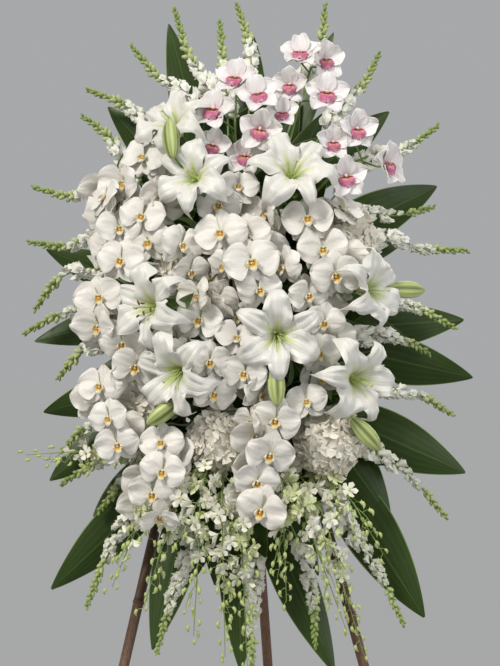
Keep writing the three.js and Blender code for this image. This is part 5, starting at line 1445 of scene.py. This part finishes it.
class SPRAY_OT_hydrangeas(bpy.types.Operator):
    """Grows the hydrangea heads"""

    bl_idname = "spray.hydrangeas"
    bl_label = "Hydrangeas"

    def execute(self, context):
        colours, sizes = settings(context)
        cream = plain(colours.hydrangea_cream)
        leaf = darker(plain(colours.stem_green), 0.4)
        parts = (cream, cream, (0.7, 0.72, 0.5), (0.68, 0.7, 0.5), (0.55, 0.58, 0.4), leaf, cream)
        petals = petal_paint("hydrangea_petal", parts, ((0.76, 0.75, 0.58), 0.3), None, 0.04, 12.0, 0.6, crease=0.25)
        stem = stem_paint("hydrangea_stem", (0.16, 0.26, 0.07), (0.1, 0.17, 0.04))
        # The core ball shows only between the florets; its colour, darker than the cream, is painted shade there.
        core = stem_paint("hydrangea_core", darker(cream, 0.12), darker(cream, 0.3))
        flowers = bouquet("hydrangea_floret", [hydrangea_floret(s) for s in (1, 2, 3, 4)])
        leaves = bouquet("hydrangea_leaf", [green_leaf(2, 0.34, BUD)])
        tree = tree_named("Hydrangea head", head_tree)
        for number, (name, row) in enumerate(HYDRANGEAS.items()):
            x, z, radius, sunk = row["head"]
            middle = on_dome(x, z, -sunk)
            plan = Plan(front_root(row["root"]))
            path = centripetal([*plan.start, middle], 30)
            plan.line(path, 3.6, 3.4)
            leafy(plan, path, range(14, 25, 2), 96, 0, 0.3, 20 + number)
            grown(f"hydrangea_{name}_head", plan, tree, common(sizes, flowers, petals, stem) | {
                "Leaves": leaves, "Core Material": core, "Seed": 60 + number,
                "Centre": tuple((middle + SHIFT) * METRES), "Radius": radius * METRES,
                "Spacing": sizes.floret_spacing, "Floret Reach": sizes.floret_reach},
                "hydrangea_petal", f"hydrangea_{name}")
        discard(flowers)
        discard(leaves)
        return {"FINISHED"}


def spire_paint(name, parts, tip):
    """Flowers that turn from white to green towards the tip of their spire."""
    p = soft_skin(name, 0.55, (0.004, 0.005, 0.002), weight=0.1, sheen=0.1)
    along, _, kind = p.marks()
    height = p.plus(p.attribute("up"), p.times(p.minus(p.noise(30), 0.5), 0.3))
    greener = p.ramp(height, [(0.32, 0.0), (0.56, 0.26), (0.95, 0.88)])
    colour = p.mix(greener, p.parts(kind, parts), tip)
    foot = p.times(p.ramp(along, [(0.0, 1.0), (0.3, 0.0)]), 0.3)
    colour = p.mix(foot, colour, tip)
    colour = p.mix(p.times(p.noise(160, 3), 0.1), colour, darker(tip, 0.2), "MULTIPLY")
    p.bump(p.noise(500, 3), 0.3, 0.0006)
    return p.colour(colour)


class SPRAY_OT_snapdragons(bpy.types.Operator):
    """Grows the snapdragon spires round the rim"""

    bl_idname = "spray.snapdragons"
    bl_label = "Snapdragons"

    def execute(self, context):
        colours, sizes = settings(context)
        white = plain(colours.snapdragon_white)
        bud = plain(colours.bud_green)
        green = plain(colours.stem_green)
        parts = (white, white, (0.8, 0.78, 0.6), (0.58, 0.62, 0.3), lighter(green, 0.12), bud, bud)
        petals = spire_paint("snapdragon_petal", parts, (0.21, 0.3, 0.06))
        stem = stem_paint("snapdragon_stem", lighter(green, 0.12), green)
        kinds = [*(snapdragon_flower(seed) for seed in (1, 2, 6)), snapdragon_bud()]
        flowers = bouquet("snapdragon", kinds, crease=92)
        tree = tree_named("Flowering spires", spire_tree)
        for number, (name, (root_at, stems, shift)) in enumerate(SNAPDRAGONS.items()):
            plan = Plan(edge_root(root_at, SNAPDRAGON_ROOT))
            for i, (tip_x, tip_z, foot_x, foot_z, bow) in enumerate(stems):
                tip = place(tip_x, tip_z, SNAPDRAGON_DEPTH - 6 + shift)
                foot = place(foot_x, foot_z, SNAPDRAGON_DEPTH)
                sideways = unit(vec(tip[2] - foot[2], 0, foot[0] - tip[0]))
                middle = (foot + tip) / 2 + sideways * bow * CM
                path = centripetal([*first_or_fork(plan.start, i), foot, middle, tip], STEM_POINTS)
                plan.line(path, 3.0, 0.9)
                share = min(0.9, (np.linalg.norm(tip - foot) + 50) / length_of(path))
                plan.spire(path[int(STEM_POINTS * (1 - share)):] + vec(0, -6, 0), 0, 0)
            grown(f"snapdragons_{name}", plan, tree, common(sizes, flowers, petals, stem) | {
                "Seed": 80 + number, "Spacing": sizes.spire_spacing, "Open Above": -0.11,
                "Largest": sizes.spire_flower, "Smallest": sizes.spire_bud,
                "Open Share": SNAPDRAGON_OPEN[root_at[0]], "Lean Below": 1.2, "Lean Above": 0.6,
                "Variants": len(kinds)}, "snapdragon_petal", f"snapdragon_{name}")
        discard(flowers)
        return {"FINISHED"}


class SPRAY_OT_cascades(bpy.types.Operator):
    """Grows the hanging sprays of small orchids"""

    bl_idname = "spray.cascades"
    bl_label = "Hanging orchids"

    # How far up its spray each twig's flowers start, in thousandths, from the highest twig to the lowest.
    LATE = (0, 0, 0, 0, 160, 340, 500, 640, 780)

    def execute(self, context):
        colours, sizes = settings(context)
        bud = plain(colours.bud_green)
        white = (0.82, 0.8, 0.68)
        parts = (white, (0.66, 0.7, 0.4), (0.6, 0.64, 0.32), (0.5, 0.55, 0.24), (0.24, 0.32, 0.09), bud, bud)
        petals = spire_paint("spray_petal", parts, (0.42, 0.5, 0.16))
        stem = stem_paint("spray_stem", (0.24, 0.34, 0.09), (0.15, 0.23, 0.06))
        kinds = [*(spray_flower(seed) for seed in (1, 2, 3)), spray_bud()]
        flowers = bouquet("spray", kinds)
        tree = tree_named("Flowering spires", spire_tree)
        for number, (name, (root_at, sprays, shift)) in enumerate(CASCADES.items()):
            draw = np.random.default_rng(300 + number)
            plan = Plan(edge_root(root_at, CASCADE_ROOT))
            for i, (x, z, tip_x, tip_z) in enumerate(sprays):
                over = on_dome(x, z, -18 + shift)
                tip = vec(tip_x * CM, over[1] + 6, tip_z * CM)
                middle = (over + tip) / 2 + vec(0, -14, 0)
                path = centripetal([*first_or_fork(plan.start, i), over, middle, tip], STEM_POINTS)
                plan.line(path, 2.2, 0.7)
                plan.spire(path[20:], 0, 0)
                for b, late in enumerate(self.LATE):
                    self.twig(plan, path, b, late, draw)
            grown(f"hanging_orchids_{name}", plan, tree, common(sizes, flowers, petals, stem) | {
                "Stem Sides": 5, "Seed": 120 + number, "Spacing": sizes.spray_spacing,
                "Largest": sizes.spray_flower, "Smallest": sizes.spray_flower * 0.6, "Open Share": 0.5,
                "Lean Below": 1.2, "Lean Above": 1.1, "Variants": len(kinds)},
                "spray_petal", f"orchid_cascade_{name}")
        discard(flowers)
        return {"FINISHED"}

    def twig(self, plan, path, b, late, draw):
        """A flowering twig that leaves its branch and droops."""
        at = 7 + 5 * b
        reach = draw.uniform(44, 80) * (1 - 0.05 * b)
        swing = draw.uniform(-30, 30)
        fork, ahead = path[at], unit(path[at + 3] - path[at])
        out = unit(vec(swing, draw.uniform(-16, 8), -abs(draw.uniform(5, 20))))
        bend = fork + ahead * reach * 0.3 + out * reach * 0.3
        end = fork + ahead * reach * 0.6 + out * reach * 0.5 + vec(0, 0, -reach * 0.25)
        twig = centripetal([fork, bend, end], 16)
        plan.line(twig, 1.0, 0.6)
        up = late * draw.uniform(0.8, 1.1)
        plan.spire(twig[4:], up * 0.8, up)


def leaf_shape(path, width, roll, blade_length, seed, rows=34, columns=12):
    """A leaf's stalk and blade along its path, folded a little along the midrib and waved at its edges."""
    draw = np.random.default_rng(seed)
    curve = centripetal(path, LEAF_POINTS)
    last = LEAF_POINTS - 1
    start = max(0.2, 1 - blade_length / length_of(curve))
    wave, phase = draw.uniform(0.5, 1.2), draw.uniform(0, 6)

    def at(u):
        k = np.clip(np.asarray(u) * last, 0, last)
        return np.stack([np.interp(k, np.arange(LEAF_POINTS), curve[:, i]) for i in range(3)], axis=-1)

    def surface(s, v):
        u = start + (1 - start) * s
        centre = at(u)
        ahead = at(np.minimum(1, u + 0.01)) - at(np.maximum(0, u - 0.01))
        ahead /= np.linalg.norm(ahead, axis=-1, keepdims=True)
        side = np.cross(ahead, vec(0, -1, 0))
        side /= np.linalg.norm(side, axis=-1, keepdims=True)
        face = np.cross(side, ahead)
        rolled = np.radians(roll) * np.minimum(1, s * 4)[..., None]
        across = side * np.cos(rolled) + face * np.sin(rolled)
        normal = np.cross(ahead, across)
        half = np.maximum(2.4 * (1 - s), (width / 2) * np.sin(math.pi * np.clip(s, 0, 1) ** 0.86) ** 0.82) + 0.3
        trough = -0.16 * half * (1 - np.abs(v) ** 1.4)
        ripple = wave * 2.0 * v * v * np.sin(13 * s + phase + 1.4 * np.sign(v)) * np.minimum(1, 3 * s)
        point = centre + across * (v * half)[..., None] + normal * (trough + ripple + 0.7)[..., None]
        return tuple(point[..., i] for i in range(3))

    blade = sheet(surface, rows, columns, 1.0, PETAL)
    stalk_path = [at(u) for u in np.linspace(0, start + 0.03 * (1 - start), 10)]
    stalk = lathe([(0, 2.8 - 0.5 * k / 9, 0.0) for k in range(10)], 8, GREEN, stalk_path)
    return joined([blade, stalk])


# The short leaves round the foam, in two sets: the fan of their directions, in radians, how far they reach
# sideways and forwards, how their middle is moved, and their width, roll, length, step of the seed and rows.
SHORT_LEAVES = (
    ((-1.5, -0.95, -0.3, 0.35, 0.95, 1.5), (130, 190), (60, 120), (-20, 0), 56, (-25, 25), 170, 40, 14),
    ((-1.0, -0.3, 0.4, 1.1), (50, 110), (160, 205), (-6, 24), 60, (20, 70), 150, 60, 12),
)


def at_depth(point, depth, further=0):
    """The point moved to a depth in front of the canes' plane."""
    return vec(point[0], plane_y(point[2]) - depth - further, point[2])


def leaf_paint(green, rim):
    """A dark blade with fine and coarse veins, lighter clouds, and a pale edge and midrib."""
    p = Paint("broad_leaf", 0.42, Specular_IOR_Level=0.28, Coat_Weight=0.04, Coat_Roughness=0.3)
    _, across, _ = p.marks()
    lines = p.stripes(across, 78.0, 0.5)
    coarse = p.stripes(across, 23.0, 1.2)
    shade = p.mix(p.times(coarse, 0.2), green, (0.075, 0.125, 0.02))
    shade = p.mix(p.times(lines, 0.3), shade, darker(green, 0.4))
    shade = p.mix(p.ramp(p.noise(9, 4), [(0.45, 0.0), (0.8, 0.35)]), shade, (0.06, 0.115, 0.014))
    aside = p.math("ABSOLUTE", across)
    shade = p.mix(p.ramp(aside, [(0.93, 0.0), (0.99, 0.75)]), shade, rim)
    shade = p.mix(p.ramp(aside, [(0.0, 0.4), (0.04, 0.0)]), shade, darker(rim, 0.35))
    p.bump(p.plus(p.times(lines, 0.7), p.times(coarse, 0.6)), 0.12, 0.001)
    return p.colour(shade)


class SPRAY_OT_leaves(bpy.types.Operator):
    """Makes the broad leaves behind the flowers"""

    bl_idname = "spray.leaves"
    bl_label = "Broad leaves"

    def execute(self, context):
        colours, _ = settings(context)
        material = leaf_paint(plain(colours.leaf_green), plain(colours.leaf_rim))
        for number, (name, (root_at, leaves, shift)) in enumerate(LEAVES.items()):
            root = edge_root(root_at, LEAF_ROOT)
            start = from_peg(root, 8)
            peg = [root[0] + (root[1] - root[0]) * s for s in (0.05, 0.5, 1.0)]
            shapes = [lathe([(0, PEG_RADIUS, 0)] * len(peg), 8, GREEN, peg)]
            for i, (tip_x, tip_z, width, roll, layer) in enumerate(leaves):
                depth = LEAF_LAYERS[layer] + shift / 2
                tip = place(tip_x, tip_z, depth)
                reach = tip - start[1]
                middle = at_depth((start[1] + tip) / 2, depth, 12)
                near = at_depth(start[1] + reach * 0.18, depth)
                path = [*first_or_fork(start, i), near, middle, tip]
                shapes.append(leaf_shape(path, width, roll, LEAF_LENGTH, 10 * number + i))
                sideways = unit(vec(start[1][2] - tip[2], 0, tip[0] - start[1][0]))
                swing = 46 if i else -46
                inner = at_depth(start[1] + reach * 0.62 + sideways * swing, depth, 22)
                bend = (start[1] + inner) / 2 + sideways * swing * 0.2 + vec(0, -16, 0)
                path = [start[0], bend, inner]
                shapes.append(leaf_shape(path, width * 0.9, -roll, 300, 10 * number + 5 + i))
                forward = at_depth(start[1] + reach * 0.46 - sideways * swing * 0.7, depth, 86)
                bend = (start[1] + forward) / 2 - sideways * swing * 0.3 + vec(0, 14, 0)
                path = [start[0], bend, forward]
                shapes.append(leaf_shape(path, width * 0.8, roll, 260, 10 * number + 8 + i, 20, 8))
            draw = np.random.default_rng(900 + number)
            mean = (place(*leaves[0][:2], 0) + place(*leaves[1][:2], 0)) / 2 - start[1]
            heading = math.atan2(mean[2], mean[0])
            for fans, out, forwards, (bend_y, bend_z), width, rolls, length, step, rows in SHORT_LEAVES:
                for k, fan in enumerate(fans):
                    angle, reach = heading + fan + draw.uniform(-0.2, 0.2), draw.uniform(*out)
                    end = start[1] + vec(reach * math.cos(angle), 0, reach * math.sin(angle))
                    end = at_depth(end, draw.uniform(*forwards))
                    path = [*start, (start[1] + end) / 2 + vec(0, bend_y, bend_z), end]
                    shapes.append(leaf_shape(path, width, draw.uniform(*rolls), length, step * number + k, rows, 6))
            placed(f"broad_leaves_{name}", joined(shapes), material, "leaf", f"leaves_{name}")
        return {"FINISHED"}


# Round a cane's node: how far from it each ring lies, how much wider it is, and its mark.
CANE_NODE = (
    (-34, 0, 0), (-12, 0.1, 0.1), (-6, 0.4, 0.2), (-3, 1.0, 0.5), (-1.2, 1.75, 0.3),
    (0.6, 1.6, 0.2), (1.6, 0.4, 1.0), (3.4, 0.5, 0.9), (7, 0.2, 0.3), (26, 0, 0),
)
CANE_SIDES = 28
CANE_BELOW_FLOOR = 60
RAFFIA_TURNS, RAFFIA_PITCH, RAFFIA_RADIUS = 6, 4.3, 2.2
RAFFIA_STEPS, RAFFIA_SIDES = 48, 7


def cane(foot, apex, joints, overrun, radius):
    """A cane from the floor to past the apex, with its nodes and an open top. It is cut off flat at the floor."""
    ahead = unit(apex - foot)
    start, top = foot - ahead * CANE_BELOW_FLOOR, apex + ahead * overrun
    length = np.linalg.norm(top - start)
    rings = [(CANE_BELOW_FLOOR / length, radius, 0.0)]
    for share in joints:
        rings += [(share + off / length, radius + swell, mark) for off, swell, mark in CANE_NODE]
    # The open top's rim and inner wall carry the highest marks, which the paint turns near-black as painted shade
    # inside the hollow.
    rings += [(1 - 2 / length, radius, 0.1), (1, radius - 0.8, 0.5), (1, radius - 3.4, 0.8),
              (1 - 22 / length, radius - 3.8, 1.0)]
    side = unit(np.cross(ahead, vec(0.2, 1, 0)))
    other = np.cross(ahead, side)
    turn = turns_of(CANE_SIDES)
    round_it = np.cos(turn)[:, None] * side + np.sin(turn)[:, None] * other
    points = [start + (top - start) * share + round_it * r for share, r, _ in rings]
    points[0] = points[0] - ahead * (points[0][:, 2] / ahead[2])[:, None]
    marks = [np.column_stack((np.full(CANE_SIDES, m), np.cos(turn), np.zeros(CANE_SIDES))) for _, _, m in rings]
    return np.vstack(points), tube_faces(len(rings), CANE_SIDES), np.vstack(marks)


def raffia_turn(middle, k):
    """One turn of the lashing, a little tilted."""
    steps, sides = RAFFIA_STEPS, RAFFIA_SIDES
    height, tilt = (k - (RAFFIA_TURNS - 1) / 2) * RAFFIA_PITCH, 0.8 * math.sin(2.1 * k)
    wide, deep = CANE_RADIUS * 3.5 + 0.4, CANE_RADIUS * 2.9 + 0.4
    loop = [middle + vec(wide * math.cos(a), deep * math.sin(a), height + tilt * math.cos(a + k))
            for a in np.linspace(0, 2 * math.pi, steps + 1)[:-1]]
    points = []
    for i, here in enumerate(loop):
        ahead = unit(loop[(i + 1) % steps] - loop[i - 1])
        out = unit(here - middle - vec(0, 0, (here - middle)[2]))
        up = np.cross(ahead, out)
        points += [here + (out * math.cos(a) + up * math.sin(a)) * RAFFIA_RADIUS for a in turns_of(sides)]
    faces = []
    for i in range(steps):
        this, after = i * sides, (i + 1) % steps * sides
        faces += [(this + j, after + j, after + (j + 1) % sides, this + (j + 1) % sides) for j in range(sides)]
    return np.array(points), faces, np.zeros((len(points), 3))


def coat(node, material):
    """Gives one of the frame's own solids its material."""
    frame["nodes"][node].data.materials.clear()
    frame["nodes"][node].data.materials.append(material)


class SPRAY_OT_canes(bpy.types.Operator):
    """Makes the three bamboo canes and the lashing"""

    bl_idname = "spray.canes"
    bl_label = "Bamboo easel"

    def execute(self, context):
        colours, sizes = settings(context)
        brown = plain(colours.cane_brown)
        p = Paint("bamboo_cane", 0.48, Specular_IOR_Level=0.35, Coat_Weight=0.04)
        node_ring_and_hollow_shade, _, _ = p.marks()
        fibre = p.noise(420, 4, p.stretched((1.0, 1.0, 0.05)))
        mottle = p.noise(14, 4)
        shade = p.mix(p.ramp(fibre, [(0.35, 0.0), (0.7, 0.8)]), darker(brown, 0.4), lighter(brown, 0.03))
        shade = p.mix(p.ramp(mottle, [(0.4, 0.0), (0.75, 0.7)]), shade, darker(brown, 0.5))
        # Near-black at the highest marks: the bamboo's own dark rings at the nodes, and painted shade inside the open
        # top.
        shade = p.mix(p.ramp(node_ring_and_hollow_shade, [(0.2, 0.0), (0.9, 0.85)]), shade, (0.035, 0.02, 0.012))
        p.bump(p.plus(fibre, p.times(mottle, 0.5)), 0.4, 0.0008)
        bark = p.colour(shade)
        for name, (foot_at, apex_at, joints, overrun) in CANES.items():
            shape = cane(vec(*foot_at, 0), vec(*apex_at, APEX_HEIGHT), joints, overrun, sizes.cane_radius * 1000)
            placed(f"bamboo_cane_{name}", shape, bark, "bamboo", f"easel_cane_{name}")

        raffia = plain(colours.raffia)
        p = Paint("raffia_lashing", 0.85, Sheen_Weight=0.2)
        strands = p.noise(900, 3, p.stretched((0.15, 0.15, 1.0)))
        p.bump(strands, 0.6, 0.0012)
        straw = p.colour(p.mix(strands, darker(raffia, 0.45), lighter(raffia, 0.2)))
        coat("apex_lashing", straw)
        middle = vec(APEX_X, 10, APEX_HEIGHT - LASHING_BELOW)
        placed("raffia_turns", joined([raffia_turn(middle, k) for k in range(RAFFIA_TURNS)]), straw, "raffia")
        return {"FINISHED"}


class SPRAY_OT_foam(bpy.types.Operator):
    """Paints the foam brick, its cage and the ties"""

    bl_idname = "spray.foam"
    bl_label = "Foam and cage"

    def execute(self, context):
        colours, _ = settings(context)
        foam = plain(colours.foam_green)
        p = Paint("wet_foam", 0.8, Specular_IOR_Level=0.3)
        pits = p.node("ShaderNodeTexVoronoi", {"Vector": p.coordinates, "Scale": 700.0}).outputs["Distance"]
        p.bump(pits, 0.8, 0.0012)
        coat("foam_brick", p.colour(p.mix(p.noise(22, 5), foam, darker(foam, 0.5))))
        cage = plain(colours.cage_green)
        p = Paint("cage_plastic", 0.5, Specular_IOR_Level=0.45)
        p.bump(p.noise(900, 3), 0.25, 0.0005)
        coat("foam_cage", p.colour(p.mix(p.noise(30, 4), cage, lighter(cage, 0.05))))
        p = Paint("tie_plastic", 0.4, Specular_IOR_Level=0.5)
        ribs = p.node("ShaderNodeTexWave", {"Vector": p.coordinates, "Scale": 260.0}).outputs["Fac"]
        p.bump(ribs, 0.4, 0.0006)
        tie = p.colour(p.mix(p.noise(80), (0.012, 0.012, 0.012), (0.03, 0.03, 0.03)))
        for node in ("cage_tie_upper", "cage_tie_lower_left", "cage_tie_lower_right"):
            coat(node, tie)
        return {"FINISHED"}


# The stage, in metres. A sun is its name, strength, spread in degrees, the way towards it, and its colour.
FLOOR_RADIUS, FLOOR_SIDES = 60, 64
CAMERA_DISTANCE, CAMERA_HEIGHT, VIEW_HEIGHT = 6.5, 1.034, 1.332
SUNS = (
    ("key", 2.45, 15, (-0.62, -0.72, 0.86), (1.0, 0.965, 0.92)),
    ("rim", 0.7, 30, (0.5, 0.8, 0.75), (1.0, 0.99, 0.97)),
    ("fill", 1.15, 45, (0.75, -0.7, 0.35), (0.97, 0.98, 1.0)),
)


class SPRAY_OT_stage(bpy.types.Operator):
    """Sets the floor, the lights and the camera"""

    bl_idname = "spray.stage"
    bl_label = "Stage"

    def execute(self, context):
        scene = context.scene
        mesh = bpy.data.meshes.new("floor")
        ring = [(FLOOR_RADIUS * math.cos(a), FLOOR_RADIUS * math.sin(a), 0)
                for a in np.linspace(0, 2 * math.pi, FLOOR_SIDES + 1)[:-1]]
        mesh.from_pydata(ring, [], [tuple(range(FLOOR_SIDES))])
        floor = bpy.data.objects.new("floor", mesh)
        p = Paint("studio_floor", 1.0, Specular_IOR_Level=0.0)
        tone = (0.3348, 0.3402, 0.3485)
        mesh.materials.append(p.colour(p.mix(p.times(p.noise(1.5, 2), 0.1), tone, darker(tone, 0.05))))
        scene.collection.objects.link(floor)

        world = bpy.data.worlds.new("studio")
        world.use_nodes = True
        sky = world.node_tree.nodes["Background"]
        sky.inputs["Color"].default_value = (0.97, 0.985, 1.0, 1)
        sky.inputs["Strength"].default_value = 0.4
        scene.world = world
        scene.view_settings.view_transform = "Standard"
        scene.view_settings.look = "None"
        for name, strength, spread, towards, colour in SUNS:
            light = bpy.data.lights.new(name, "SUN")
            light.energy, light.angle, light.color = strength, math.radians(spread), colour
            lamp = bpy.data.objects.new(name, light)
            lamp.location = Vector(towards) * 5
            lamp.rotation_euler = Vector(towards).to_track_quat("Z", "Y").to_euler()
            scene.collection.objects.link(lamp)

        camera = bpy.data.cameras.new("camera")
        camera.sensor_fit = "VERTICAL"
        camera.sensor_height = 36
        camera.lens = camera.sensor_height * CAMERA_DISTANCE / VIEW_HEIGHT
        view = bpy.data.objects.new("camera", camera)
        view.location = (0.0, -CAMERA_DISTANCE, CAMERA_HEIGHT)
        view.rotation_euler = (math.radians(90), 0, 0)
        scene.collection.objects.link(view)
        scene.camera = view
        return {"FINISHED"}


OPERATORS = (
    SPRAY_OT_canes, SPRAY_OT_foam, SPRAY_OT_leaves, SPRAY_OT_snapdragons, SPRAY_OT_hydrangeas, SPRAY_OT_cascades,
    SPRAY_OT_phalaenopsis, SPRAY_OT_cymbidium, SPRAY_OT_lilies, SPRAY_OT_stage,
)


class VIEW3D_PT_spray(bpy.types.Panel):
    """Lists the spray's settings and its operators"""

    bl_label = "Standing spray"
    bl_idname = "VIEW3D_PT_spray"
    bl_space_type = "VIEW_3D"
    bl_region_type = "UI"
    bl_category = "Spray"

    def draw(self, context):
        colours, sizes = settings(context)
        for group in (sizes, colours):
            box = self.layout.box()
            for name in group.__annotations__:
                box.prop(group, name)
        for operator in OPERATORS:
            self.layout.operator(operator.bl_idname)


CLASSES = (SprayColours, SpraySizes, SpraySettings, *OPERATORS, VIEW3D_PT_spray)


def register():
    for cls in CLASSES:
        bpy.utils.register_class(cls)
    bpy.types.Scene.funeral_spray = PointerProperty(type=SpraySettings)


def unregister():
    del bpy.types.Scene.funeral_spray
    for cls in reversed(CLASSES):
        bpy.utils.unregister_class(cls)


def main():
    """Runs the operators in their order."""
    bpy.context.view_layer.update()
    register()
    for operator in OPERATORS:
        group, name = operator.bl_idname.split(".")
        getattr(getattr(bpy.ops, group), name)()


if __name__ == "__main__":
    main()
